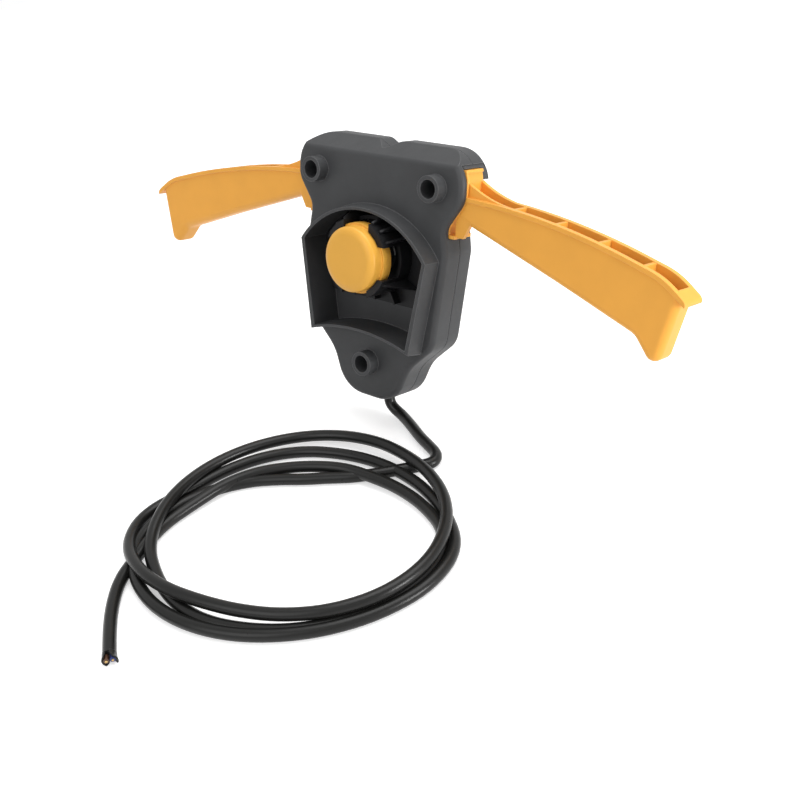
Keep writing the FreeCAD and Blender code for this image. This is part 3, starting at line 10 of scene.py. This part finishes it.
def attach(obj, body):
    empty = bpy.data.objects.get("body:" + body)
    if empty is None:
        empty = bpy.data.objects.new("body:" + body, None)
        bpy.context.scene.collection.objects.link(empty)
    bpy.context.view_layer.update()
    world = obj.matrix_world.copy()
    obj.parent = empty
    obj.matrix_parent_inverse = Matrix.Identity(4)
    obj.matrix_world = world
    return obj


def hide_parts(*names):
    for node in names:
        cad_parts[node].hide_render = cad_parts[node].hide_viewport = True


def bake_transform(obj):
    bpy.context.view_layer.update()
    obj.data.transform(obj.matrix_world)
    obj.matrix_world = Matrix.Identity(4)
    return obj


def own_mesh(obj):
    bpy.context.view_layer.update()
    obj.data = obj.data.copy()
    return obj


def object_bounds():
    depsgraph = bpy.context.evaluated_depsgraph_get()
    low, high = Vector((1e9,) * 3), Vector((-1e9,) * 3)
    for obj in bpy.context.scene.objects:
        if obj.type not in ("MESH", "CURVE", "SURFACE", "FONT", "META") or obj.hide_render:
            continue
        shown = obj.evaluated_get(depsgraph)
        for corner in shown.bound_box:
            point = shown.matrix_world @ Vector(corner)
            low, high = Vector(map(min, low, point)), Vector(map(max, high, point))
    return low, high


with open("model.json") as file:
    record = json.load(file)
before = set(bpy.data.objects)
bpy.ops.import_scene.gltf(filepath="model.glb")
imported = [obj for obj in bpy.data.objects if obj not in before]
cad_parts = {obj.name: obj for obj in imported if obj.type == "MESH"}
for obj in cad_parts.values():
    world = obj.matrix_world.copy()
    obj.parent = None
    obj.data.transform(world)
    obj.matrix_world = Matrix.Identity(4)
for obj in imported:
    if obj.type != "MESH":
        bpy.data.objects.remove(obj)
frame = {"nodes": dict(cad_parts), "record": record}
cad_low, cad_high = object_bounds()
NODE_SLOT = {row["node"]: row["material_slot"] for row in frame["record"]["subparts"]}
NODE_BODY = {node: body for body, nodes in frame["record"]["behaviour"]["bodies"].items() for node in nodes}

MM = 0.001

# Where the photograph was taken from, and how the camera was held.
CAMERA_PLACE = (0.3893, -0.41864, 0.2477)
CAMERA_RIGHT = (0.7621, 0.6347, -0.1277)
CAMERA_UP = (-0.2514, 0.4719, 0.845)
CAMERA_LENS = 48.69
CAMERA_SENSOR = 36.0

# The button's axis and the hinges' axis: the housing leans back. A depth is a way along the first, a height along
# the second, both from the middle of the back face.
LEAN = math.radians(15)
AXIS = np.array([0.0, math.cos(LEAN), -math.sin(LEAN)])
HINGE = np.array([0.0, math.sin(LEAN), math.cos(LEAN)])

# Mouldings: how wide their sharp edges are eased, and in how many steps.
EASES = {
    "front_shell": 0.4 * MM,
    "rear_shell": 0.4 * MM,
    "lever_left": 0.35 * MM,
    "lever_right": 0.35 * MM,
    "button_cap": 0.3 * MM,
    "button_collar": 0.25 * MM,
}
EASE_STEPS = 2
SHARP_ANGLE = math.radians(32)
FLAT_ANGLE = math.radians(0.4)
MERGE_DISTANCE = 1e-6

# How far forward the button's cap and collar stand in the photograph: depth on the solid and depth as seen, in
# millimetres.
SEEN_DEPTHS = {
    "button_cap": [(-41.8, -45.2), (-36.8, -42.2), (-34.8, -37.3), (-30.0, -31.0)],
    "button_collar": [(-36.5, -39.0), (-34.9, -37.4), (-17.0, -17.0)],
}

# Levers: the rounding at the outer end of the lip, its steps, and how near that end its edges lie.
TIP_ROUND = 3.4 * MM
TIP_STEPS = 5
TIP_BAND = 1.2 * MM

# Springs: the angle above which the edges of a spring's wire stay sharp.
WIRE_SHARP = math.radians(40)

# Side windows: the middle and radius of the lobe's corner that their fillings follow, how far in these reach, and for
# the rim above a lever's flange and the soft seal behind it the heights and the depths between which they lie, in
# millimetres.
LOBE_CORNER = (41.0, 44.0)
LOBE_RADIUS = 17.7
WINDOW_INNER = 51.0
WINDOW_FILLS = {
    "window_rim": (53.3, 55.2, -19.8, -2.4),
    "window_seal": (47.3, 53.2, -5.6, -1.2),
}
FILL_STEPS = 7

# Cable: half its thickness, the floor, and the points of its route repeated from the part's source; the routes are in
# millimetres, with heights above the floor.
CABLE_RADIUS = 3.3 * MM
CABLE_STEPS = 6
FLOOR = float(cad_low.z)
CABLE_EXIT = (0.0, -0.02873, -0.08403)
CABLE_START = (0.0, -0.02479, -0.06934)
LEAD_ROUTE = [
    (3.0, -29.6, 6.6),
    (11.0, -30.4, 3.4),
    (23.0, -36.6, 3.4),
    (35.4, -43.6, 3.4),
    (46.0, -48.2, 3.4),
    (54.2, -52.2, 3.4),
    (57.4, -58.6, 3.4),
    (53.6, -65.0, 3.4),
]
TAIL_ROUTE = [
    (-24.5, -205.5, 3.4),
    (-18.5, -219.0, 3.4),
    (-6.5, -232.6, 3.4),
    (8.0, -245.2, 3.4),
    (20.6, -254.6, 3.4),
]

# The loose turns of the cable, anticlockwise from above: angle in degrees, radius and height above the floor
# in millimetres, about the middle of the coil.
COIL_CENTRE = (29.0, -142.0)
COIL_STOPS = [
    (90, 51.0, 3.4), (104, 45.0, 3.4), (126, 42.4, 3.4), (150, 47.8, 3.4), (168, 57.8, 3.4),
    (190, 70.0, 3.4), (205, 80.0, 3.4), (214, 83.6, 3.4), (230, 84.0, 3.4), (248, 82.7, 3.4),
    (277, 79.4, 3.4), (303, 78.4, 3.4), (320, 80.2, 3.4), (335, 82.4, 3.4), (358, 88.4, 3.4),
    (375, 92.0, 3.4), (386, 88.0, 3.4), (396, 81.8, 3.4), (409, 75.0, 3.4), (436, 68.8, 3.4),
    (464, 66.8, 3.4), (497, 71.8, 3.4), (515, 73.4, 3.4), (530, 74.0, 3.4), (550, 76.4, 3.4),
    (561, 87.4, 3.4), (569, 91.0, 4.0), (581, 87.6, 6.0), (597, 81.4, 8.5), (617, 74.0, 9.9),
    (633, 69.4, 9.9), (648, 67.5, 9.0), (679, 72.8, 8.5), (701, 81.4, 9.9), (728, 84.4, 9.9),
    (752, 82.6, 9.9), (780, 77.8, 9.9), (801, 77.4, 8.0), (829, 82.5, 6.0), (856, 84.4, 5.0),
    (875, 81.0, 7.0), (899, 77.0, 9.0), (925, 74.2, 9.9), (946, 75.2, 6.0), (961, 72.8, 3.4),
    (975, 72.4, 3.4), (995, 74.4, 3.4), (1015, 74.6, 3.4), (1030, 76.4, 3.4), (1050, 79.4, 3.4),
    (1065, 81.8, 3.4), (1095, 85.0, 3.4), (1105, 82.6, 3.4), (1112, 79.4, 3.4), (1124, 70.4, 3.4),
    (1136, 63.4, 3.6), (1149, 58.4, 4.4), (1163, 54.0, 5.0), (1206, 50.2, 6.5), (1228, 53.2, 6.5),
    (1246, 58.8, 6.0), (1268, 62.0, 4.0), (1290, 74.0, 3.4),
]
POINTS_PER_TURN = 20

# The cable's cut end: a strip of sheath left standing on each side, two cores and their copper strands. A strip
# has the angle of its middle, half its width in degrees, its length, and how far its tip curls out.
FLAPS = {
    "sheath_flap": (14.0, 66.0, 4.2 * MM, 0.2),
    "sheath_flap_small": (186.0, 74.0, 3.4 * MM, 0.06),
}
FLAP_ROOT = -0.15
FLAP_INSET = 0.97
FLAP_TAPER = 0.35
FLAP_ROWS = 14
FLAP_COLUMNS = 15
SHEATH_WALL = 0.6 * MM
CORE_HALF = 1.55 * MM
CORE_LENGTH = 3.5 * MM

# Strands: six round one. Their spacing is in radii; the sunk stretch and the rounded end are shares of their length.
STRAND_RADIUS = 0.22 * MM
STRAND_LENGTH = 0.9 * MM
STRANDS_ROUND = 6
STRAND_SPACING = 2.02
STRAND_SUNK = 0.3
STRAND_END = 0.4
STRAND_ROWS = 9
STRAND_SIDES = 12

# Rounded edges and their painted highlight: rays that feel for an edge, and the cosine of the turn at which the
# painted highlight is as pale as it gets.
EDGE_RAYS = 6
EDGE_TURN = 0.9

# The light: the floor's colour and glow, the sky's dim side and bright side, and the soft lamps with their places,
# sizes in metres and watts.
FLOOR_COLOUR = (0.8, 0.8, 0.8)
FLOOR_GLOW = 0.5
FLOOR_HALF = 1.6
SKY_SIDE = (0.35, 0.45, 0.82)
SKY_LOW = 0.25
SKY_HIGH = 0.6
LAMP_AIM = (0.0, -0.05, 0.0)
LAMPS = [
    ("top_light", (0.2, 0.3, 1.3), 1.2, 16.0),
    ("right_light", (1.3, 0.1, 0.12), 0.4, 11.0),
    ("front_light", (0.0, -1.3, 0.8), 1.0, 6.6),
]


def link(thing):
    """Put an object into the scene."""
    bpy.context.scene.collection.objects.link(thing)
    return thing


def socket_set(node, **values):
    """Set constants on a node's input sockets by name, with spaces for underscores."""
    for name, value in values.items():
        node.inputs[name.replace("_", " ")].default_value = value


def new_material(name):
    """A node material with an empty tree but for its Principled shader and output."""
    material = bpy.data.materials.new(name)
    material.use_nodes = True
    return material, material.node_tree, material.node_tree.nodes["Principled BSDF"]


def noise(tree, scale, detail=2.0):
    """Noise on Object coordinates; scale is in features per metre."""
    place = tree.nodes.new("ShaderNodeTexCoord")
    node = tree.nodes.new("ShaderNodeTexNoise")
    socket_set(node, Scale=scale, Detail=detail)
    tree.links.new(place.outputs["Object"], node.inputs["Vector"])
    return node.outputs["Fac"]


def ramp(tree, factor, low, high, first, last):
    """A colour between two, as a factor goes from low to high."""
    node = tree.nodes.new("ShaderNodeValToRGB")
    node.color_ramp.elements[0].position = low
    node.color_ramp.elements[1].position = high
    node.color_ramp.elements[0].color = (*first, 1)
    node.color_ramp.elements[1].color = (*last, 1)
    tree.links.new(factor, node.inputs["Fac"])
    return node.outputs["Color"]


def span(tree, factor, middle, spread):
    """A number that lies a spread to either side of its middle, as a factor goes from nought to one."""
    node = tree.nodes.new("ShaderNodeMapRange")
    socket_set(node, To_Min=middle - spread, To_Max=middle + spread)
    tree.links.new(factor, node.inputs["Value"])
    return node.outputs["Result"]


def rounded_normal(tree, radius):
    """The surface's direction as if its edges were rounded to a radius."""
    node = tree.nodes.new("ShaderNodeBevel")
    node.samples = EDGE_RAYS
    socket_set(node, Radius=radius)
    return node.outputs["Normal"]


def bump(tree, shader, height, depth, edge=0.0):
    """Relief from a height pattern, over edges that look rounded to a radius."""
    node = tree.nodes.new("ShaderNodeBump")
    socket_set(node, Distance=depth, Strength=1.0)
    tree.links.new(height, node.inputs["Height"])
    tree.links.new(node.outputs["Normal"], shader.inputs["Normal"])
    if edge:
        tree.links.new(rounded_normal(tree, edge), node.inputs["Normal"])


def painted_edge_highlight(tree, edge, colour, pale):
    """A painted highlight: a colour that turns paler near an edge, where the rounded direction departs from the
    surface's own.
    """
    place = tree.nodes.new("ShaderNodeNewGeometry")
    turned = tree.nodes.new("ShaderNodeVectorMath")
    turned.operation = "DOT_PRODUCT"
    tree.links.new(rounded_normal(tree, edge), turned.inputs[0])
    tree.links.new(place.outputs["Normal"], turned.inputs[1])
    mask = tree.nodes.new("ShaderNodeMapRange")
    socket_set(mask, From_Min=1.0, From_Max=EDGE_TURN, To_Min=0.0, To_Max=1.0)
    tree.links.new(turned.outputs["Value"], mask.inputs["Value"])
    mix = tree.nodes.new("ShaderNodeMix")
    mix.data_type = "RGBA"
    tree.links.new(mask.outputs["Result"], mix.inputs["Factor"])
    tree.links.new(colour, mix.inputs["A"])
    mix.inputs["B"].default_value = (*pale, 1)
    return mix.outputs["Result"]


def moulded(name, colour, roughness, grain=2500, depth=0.01 * MM, specular=0.5, mottle=0.06, edge=0.0, pale=None):
    """Moulded plastic: spark-eroded grain, faint flow mottling, a roughness that varies a little, and edges that
    may be rounded and paler, a painted highlight."""
    material, tree, shader = new_material(name)
    dark = [channel * (1 - mottle) for channel in colour]
    light = [channel * (1 + mottle) for channel in colour]
    shade = ramp(tree, noise(tree, scale=60, detail=3), 0.35, 0.65, dark, light)
    # Paler edges: a painted highlight mixed into the base colour.
    if pale:
        shade = painted_edge_highlight(tree, edge, shade, pale)
    tree.links.new(shade, shader.inputs["Base Color"])
    sheen = span(tree, noise(tree, scale=300), roughness, spread=0.06)
    tree.links.new(sheen, shader.inputs["Roughness"])
    bump(tree, shader, noise(tree, scale=grain), depth, edge)
    socket_set(shader, Specular_IOR_Level=specular)
    return material


def metal(name, colour, roughness):
    """Drawn or turned metal with fine scratches."""
    material, tree, shader = new_material(name)
    dark = [channel * 0.85 for channel in colour]
    shade = ramp(tree, noise(tree, scale=500, detail=4), 0.3, 0.7, dark, colour)
    tree.links.new(shade, shader.inputs["Base Color"])
    sheen = span(tree, noise(tree, scale=900, detail=3), roughness, spread=0.08)
    tree.links.new(sheen, shader.inputs["Roughness"])
    bump(tree, shader, noise(tree, scale=3000), depth=0.01 * MM)
    socket_set(shader, Metallic=1.0)
    return material


FINISHES = {
    # The pale edge colours of the housing and the levers are painted highlights.
    "housing_grey": moulded("housing_grey", (0.046, 0.047, 0.049), 0.5, grain=3000, depth=0.03 * MM, specular=0.25,
                            edge=0.8 * MM, pale=(0.105, 0.107, 0.11)),
    "lever_orange": moulded("lever_orange", (0.81, 0.375, 0.055), 0.42, specular=0.3, mottle=0.02,
                            edge=0.6 * MM, pale=(0.93, 0.47, 0.1)),
    "button_yellow": moulded("button_yellow", (0.74, 0.38, 0.055), 0.38, specular=0.3, mottle=0.02),
    "collar_black": moulded("collar_black", (0.014, 0.014, 0.015), 0.36, specular=0.14),
    "inner_black": moulded("inner_black", (0.012, 0.012, 0.013), 0.45, depth=0.02 * MM),
    "plunger_red": moulded("plunger_red", (0.5, 0.05, 0.04), 0.35),
    "spring_steel": metal("spring_steel", (0.62, 0.62, 0.6), 0.3),
    "pin_steel": metal("pin_steel", (0.66, 0.66, 0.66), 0.25),
    "screw_steel": metal("screw_steel", (0.58, 0.57, 0.54), 0.35),
    "contact_brass": metal("contact_brass", (0.75, 0.55, 0.25), 0.3),
    "cable_black": moulded("cable_black", (0.009, 0.009, 0.0085), 0.3, grain=2000, depth=0.02 * MM, specular=0.24),
    "core_brown": moulded("core_brown", (0.075, 0.034, 0.018), 0.4),
    "core_blue": moulded("core_blue", (0.02, 0.035, 0.16), 0.4),
}


def paint(thing, slot):
    """Give a piece the finish of one of the record's material slots."""
    thing.data.materials.clear()
    thing.data.materials.append(FINISHES[slot])


def stand_in(name, mesh, node):
    """A piece with a node's finish that stands for the node."""
    piece = link(bpy.data.objects.new(name, mesh))
    paint(piece, NODE_SLOT[node])
    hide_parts(node)
    return piece


def drawn_out(mesh, depths):
    """Move a mesh's points along the button's axis, from depths on the solid to depths as seen."""
    points = np.empty(3 * len(mesh.vertices))
    mesh.vertices.foreach_get("co", points)
    points = points.reshape(-1, 3)
    solid, seen = np.array(depths).T * MM
    depth = points @ AXIS
    points += (np.interp(depth, solid, seen) - np.clip(depth, solid[0], solid[-1]))[:, None] * AXIS
    mesh.vertices.foreach_set("co", points.ravel())


def rounded_tip(work):
    """Round the two corners at the outer end of a lever's lip: the edges that reach furthest out."""
    reach = max(abs(vertex.co.x) for vertex in work.verts)
    tips = [edge for edge in work.edges
            if all(abs(vertex.co.x) > reach - TIP_BAND for vertex in edge.verts) and edge.calc_length() > TIP_BAND]
    bmesh.ops.bevel(work, geom=tips, offset=TIP_ROUND, segments=TIP_STEPS, profile=0.5, affect="EDGES")


def dressed(node, ease):
    """A merged, smooth-shaded copy of a CAD node whose sharp edges are eased by a narrow bevel; it stands for
    the node."""
    mesh = frame["nodes"][node].data.copy()
    if node in SEEN_DEPTHS:
        drawn_out(mesh, SEEN_DEPTHS[node])
    work = bmesh.new()
    work.from_mesh(mesh)
    bmesh.ops.remove_doubles(work, verts=work.verts, dist=MERGE_DISTANCE)
    bmesh.ops.dissolve_limit(work, angle_limit=FLAT_ANGLE, verts=work.verts, edges=work.edges)
    if node.startswith("lever"):
        rounded_tip(work)
    work.to_mesh(mesh)
    work.free()
    mesh.shade_smooth()
    piece = stand_in(f"{node}_moulding", mesh, node)
    eased = piece.modifiers.new("eased_edges", "BEVEL")
    eased.width = ease
    eased.segments = EASE_STEPS
    eased.limit_method = "ANGLE"
    eased.angle_limit = SHARP_ANGLE
    eased.harden_normals = True
    eased.use_clamp_overlap = True
    flat = piece.modifiers.new("flat_faces", "WEIGHTED_NORMAL")
    flat.mode = "FACE_AREA"
    flat.keep_sharp = True
    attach(piece, NODE_BODY[node])


def spring_wire(node):
    """A merged, smooth-shaded copy of a spring, which stands for the node."""
    mesh = frame["nodes"][node].data.copy()
    work = bmesh.new()
    work.from_mesh(mesh)
    bmesh.ops.remove_doubles(work, verts=work.verts, dist=MERGE_DISTANCE)
    work.to_mesh(mesh)
    work.free()
    mesh.shade_smooth()
    mesh.set_sharp_from_angle(angle=WIRE_SHARP)
    return stand_in(f"{node}_wire", mesh, node)


def make_springs():
    """The springs as merged copies: the button's spring rides on the housing with a mesh of its own; each lever's
    spring has its place baked into its mesh.
    """
    pressed = spring_wire("button_spring")
    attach(pressed, "housing")
    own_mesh(pressed)
    for hand in ("left", "right"):
        wound = spring_wire(f"lever_spring_{hand}")
        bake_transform(wound)


def housed(name, mesh, slot):
    """A new piece on the housing."""
    piece = link(bpy.data.objects.new(name, mesh))
    paint(piece, slot)
    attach(piece, "housing")
    return piece


def make_window_fill(name, hand):
    """A bar along the button's axis: its section is a strip between two heights, from a straight inner side to an
    outer side that follows the arc of the lobe's corner."""
    low, high, front, rear = WINDOW_FILLS[name]
    side = -1 if hand == "left" else 1
    height = np.linspace(low, high, FILL_STEPS)
    outer = LOBE_CORNER[0] + np.sqrt(LOBE_RADIUS ** 2 - (height - LOBE_CORNER[1]) ** 2)
    across = side * np.append(outer, [WINDOW_INNER, WINDOW_INNER])
    up = np.append(height, [high, low])
    ring = across[:, None] * np.array([1.0, 0.0, 0.0]) + up[:, None] * HINGE
    points = np.concatenate([ring + front * AXIS, ring + rear * AXIS]) * MM
    here = np.arange(len(ring))
    after = np.roll(here, -1)
    walls = np.stack([here, after, after + len(ring), here + len(ring)], axis=1).tolist()
    mesh = bpy.data.meshes.new(f"{name}_{hand}")
    mesh.from_pydata(points, [], walls + [here.tolist(), (here + len(ring)).tolist()])
    work = bmesh.new()
    work.from_mesh(mesh)
    bmesh.ops.recalc_face_normals(work, faces=work.faces)
    work.to_mesh(mesh)
    work.free()
    return housed(f"{name}_{hand}", mesh, "housing_grey")


def fill_windows():
    """Close each side window round its lever's flange with a rim and a seal; the seal gets a mesh of its own."""
    for hand in ("left", "right"):
        make_window_fill("window_rim", hand)
        seal = make_window_fill("window_seal", hand)
        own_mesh(seal)


def coil_points():
    """The coil's control points: radius and height between the stops, at equal steps of angle."""
    stops = np.array(COIL_STOPS)
    count = round((stops[-1, 0] - stops[0, 0]) / 360 * POINTS_PER_TURN)
    angle = np.linspace(stops[0, 0], stops[-1, 0], count)
    radius = np.interp(angle, stops[:, 0], stops[:, 1])
    height = np.interp(angle, stops[:, 0], stops[:, 2])
    turn = np.radians(angle)
    across = COIL_CENTRE[0] + radius * np.cos(turn)
    back = COIL_CENTRE[1] + radius * np.sin(turn)
    return np.stack([across, back, height], axis=1)


def make_cable():
    """The cable as one smooth line from inside the housing, through its loose turns, to its cut end."""
    floor = np.array([0, 0, FLOOR])
    on_floor = np.concatenate([LEAD_ROUTE, coil_points(), TAIL_ROUTE]) * MM + floor
    points = np.concatenate([[CABLE_START, CABLE_EXIT], on_floor])
    curve = bpy.data.curves.new("cable", "CURVE")
    curve.dimensions = "3D"
    curve.bevel_depth = CABLE_RADIUS
    curve.bevel_resolution = CABLE_STEPS
    curve.resolution_u = CABLE_STEPS
    curve.use_fill_caps = True
    spline = curve.splines.new("NURBS")
    spline.points.add(len(points) - 1)
    spline.points.foreach_set("co", np.c_[points, np.ones(len(points))].ravel())
    spline.order_u = 3
    spline.use_endpoint_u = True
    cable = housed("cable", curve, "cable_black")
    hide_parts("cable_lead", "cable_coil", "cable_tail")
    return cable


def surface(name, points, slot, closed=False):
    """A smooth sheet over a grid of points, rows by columns; closed joins the last column to the first."""
    rows, columns = points.shape[:2]
    across = columns if closed else columns - 1
    row, column = np.meshgrid(np.arange(rows - 1), np.arange(across), indexing="ij")
    after = (column + 1) % columns
    corners = [row * columns + column, row * columns + after,
               (row + 1) * columns + after, (row + 1) * columns + column]
    faces = np.stack(corners, axis=-1).reshape(-1, 4)
    mesh = bpy.data.meshes.new(name)
    mesh.from_pydata(points.reshape(-1, 3), [], faces)
    mesh.shade_smooth()
    return housed(name, mesh, slot)


def cable_end():
    """The middle of the cable's cut end, and the ways onward, to its left and up from there."""
    tail = np.array(TAIL_ROUTE) * MM + np.array([0, 0, FLOOR])
    onward = tail[-1] - tail[-2]
    onward /= np.linalg.norm(onward)
    up = np.array([0.0, 0.0, 1.0])
    return tail[-1], onward, np.cross(up, onward), up


def make_sheath_flap(name):
    """A strip of the sheath left standing past the cut: an arc of the cable's wall, swept onward, whose radius
    grows with the square of the way and whose width shrinks, so that its tip curls out."""
    middle, half, length, curl = FLAPS[name]
    end, onward, left, up = cable_end()
    along = np.linspace(FLAP_ROOT, 1, FLAP_ROWS)[:, None]
    out = np.clip(along, 0, 1)
    across = np.linspace(-1, 1, FLAP_COLUMNS)[None, :]
    turn = np.radians(middle + half * across * (1 - FLAP_TAPER * out ** 2))
    radius = CABLE_RADIUS * (FLAP_INSET + curl * out ** 2)
    points = end + (along * length)[..., None] * onward
    points = points + (radius * np.cos(turn))[..., None] * left + (radius * np.sin(turn))[..., None] * up
    flap = surface(name, points, "cable_black")
    wall = flap.modifiers.new("wall", "SOLIDIFY")
    wall.thickness = SHEATH_WALL
    wall.offset = 0
    return flap


def make_strands(name, side):
    """Bared copper at the end of a core: six strands round one, each a rod with a round end, as circles whose
    radius falls to nought along the rod's last stretch."""
    end, onward, left, up = cable_end()
    middle = end + left * (side * CORE_HALF) + onward * CORE_LENGTH
    along = np.linspace(0, 1, STRAND_ROWS)[:, None]
    rounding = np.clip((along - 1 + STRAND_END) / STRAND_END, 0, 1)
    rod = STRAND_RADIUS * np.sqrt(1 - rounding ** 2)
    turn = np.linspace(0, 2 * np.pi, STRAND_SIDES, endpoint=False)[None, :]
    strands = []
    for number in range(STRANDS_ROUND + 1):
        lay = number * 2 * np.pi / STRANDS_ROUND
        out = 0 if number == STRANDS_ROUND else STRAND_SPACING * STRAND_RADIUS
        centre = middle + left * (out * math.cos(lay)) + up * (out * math.sin(lay))
        points = centre + ((along - STRAND_SUNK) * STRAND_LENGTH)[..., None] * onward
        points = points + (rod * np.cos(turn))[..., None] * left + (rod * np.sin(turn))[..., None] * up
        strands.append(surface(f"{name}_{number + 1}", points, "contact_brass", closed=True))
    return strands


def lay_cable():
    """The cable and its cut end."""
    cable = make_cable()
    end_pieces = [frame["nodes"][name] for name in ("core_brown", "core_blue")]
    end_pieces += [make_sheath_flap(name) for name in FLAPS]
    end_pieces += make_strands("brown_strand", -1) + make_strands("blue_strand", 1)


def make_floor():
    """A plain pale floor that shows white to the camera and keeps the object's shadow."""
    mesh = bpy.data.meshes.new("floor")
    half = FLOOR_HALF
    corners = [(-half, -half, FLOOR), (half, -half, FLOOR), (half, half, FLOOR), (-half, half, FLOOR)]
    mesh.from_pydata(corners, [], [(0, 1, 2, 3)])
    floor = link(bpy.data.objects.new("floor", mesh))
    material, tree, shader = new_material("pale_floor")
    socket_set(shader, Base_Color=(*FLOOR_COLOUR, 1), Roughness=0.9, Specular_IOR_Level=0.0)
    tree.links.new(seen_rays(tree, FLOOR_GLOW), shader.inputs["Emission Strength"])
    socket_set(shader, Emission_Color=(1, 1, 1, 1))
    mesh.materials.append(material)


def math_node(tree, operation):
    """A node that works out one number from two."""
    node = tree.nodes.new("ShaderNodeMath")
    node.operation = operation
    return node


def seen_rays(tree, strength):
    """A strength for rays from the camera, and in reflections and through glass; nought for other rays."""
    path = tree.nodes.new("ShaderNodeLightPath")
    first = math_node(tree, "MAXIMUM")
    second = math_node(tree, "MAXIMUM")
    scaled = math_node(tree, "MULTIPLY")
    scaled.inputs[1].default_value = strength
    tree.links.new(path.outputs["Is Camera Ray"], first.inputs[0])
    tree.links.new(path.outputs["Is Glossy Ray"], first.inputs[1])
    tree.links.new(first.outputs[0], second.inputs[0])
    tree.links.new(path.outputs["Is Transmission Ray"], second.inputs[1])
    tree.links.new(second.outputs[0], scaled.inputs[0])
    return scaled.outputs[0]


def make_world():
    """White where it is seen, and a dim light from all round that grows towards the light's side."""
    world = bpy.data.worlds.new("studio")
    world.use_nodes = True
    bpy.context.scene.world = world
    tree = world.node_tree
    background = tree.nodes["Background"]
    socket_set(background, Color=(1, 1, 1, 1))
    place = tree.nodes.new("ShaderNodeTexCoord")
    facing = tree.nodes.new("ShaderNodeVectorMath")
    facing.operation = "DOT_PRODUCT"
    facing.inputs[1].default_value = Vector(SKY_SIDE).normalized()
    tree.links.new(place.outputs["Generated"], facing.inputs[0])
    dim = tree.nodes.new("ShaderNodeMapRange")
    socket_set(dim, From_Min=-1.0, To_Min=SKY_LOW, To_Max=SKY_HIGH)
    tree.links.new(facing.outputs["Value"], dim.inputs["Value"])
    shown = tree.nodes.new("ShaderNodeMapRange")
    tree.links.new(seen_rays(tree, 1.0), shown.inputs["Value"])
    tree.links.new(dim.outputs["Result"], shown.inputs["To Min"])
    tree.links.new(shown.outputs["Result"], background.inputs["Strength"])


def make_lamp(name, place, size, watts):
    """A square soft lamp that faces the object."""
    lamp = bpy.data.lights.new(name, "AREA")
    lamp.energy = watts
    lamp.size = size
    holder = link(bpy.data.objects.new(name, lamp))
    holder.location = place
    holder.rotation_mode = "QUATERNION"
    holder.rotation_quaternion = (Vector(LAMP_AIM) - Vector(place)).to_track_quat("-Z", "Y")


def make_camera():
    """The camera where the photograph was taken from."""
    right, up = Vector(CAMERA_RIGHT).normalized(), Vector(CAMERA_UP).normalized()
    back = right.cross(up).normalized()
    turn = Matrix((right, back.cross(right), back)).transposed()
    camera = link(bpy.data.objects.new("camera", bpy.data.cameras.new("camera")))
    camera.data.lens = CAMERA_LENS
    camera.data.sensor_width = CAMERA_SENSOR
    camera.matrix_world = Matrix.Translation(CAMERA_PLACE) @ turn.to_4x4()
    bpy.context.scene.camera = camera


for node, thing in frame["nodes"].items():
    paint(thing, NODE_SLOT[node])
for node, ease in EASES.items():
    dressed(node, ease)
make_springs()
fill_windows()
lay_cable()
make_floor()
make_world()
for lamp in LAMPS:
    make_lamp(*lamp)
make_camera()
bpy.context.scene.view_settings.view_transform = "Standard"
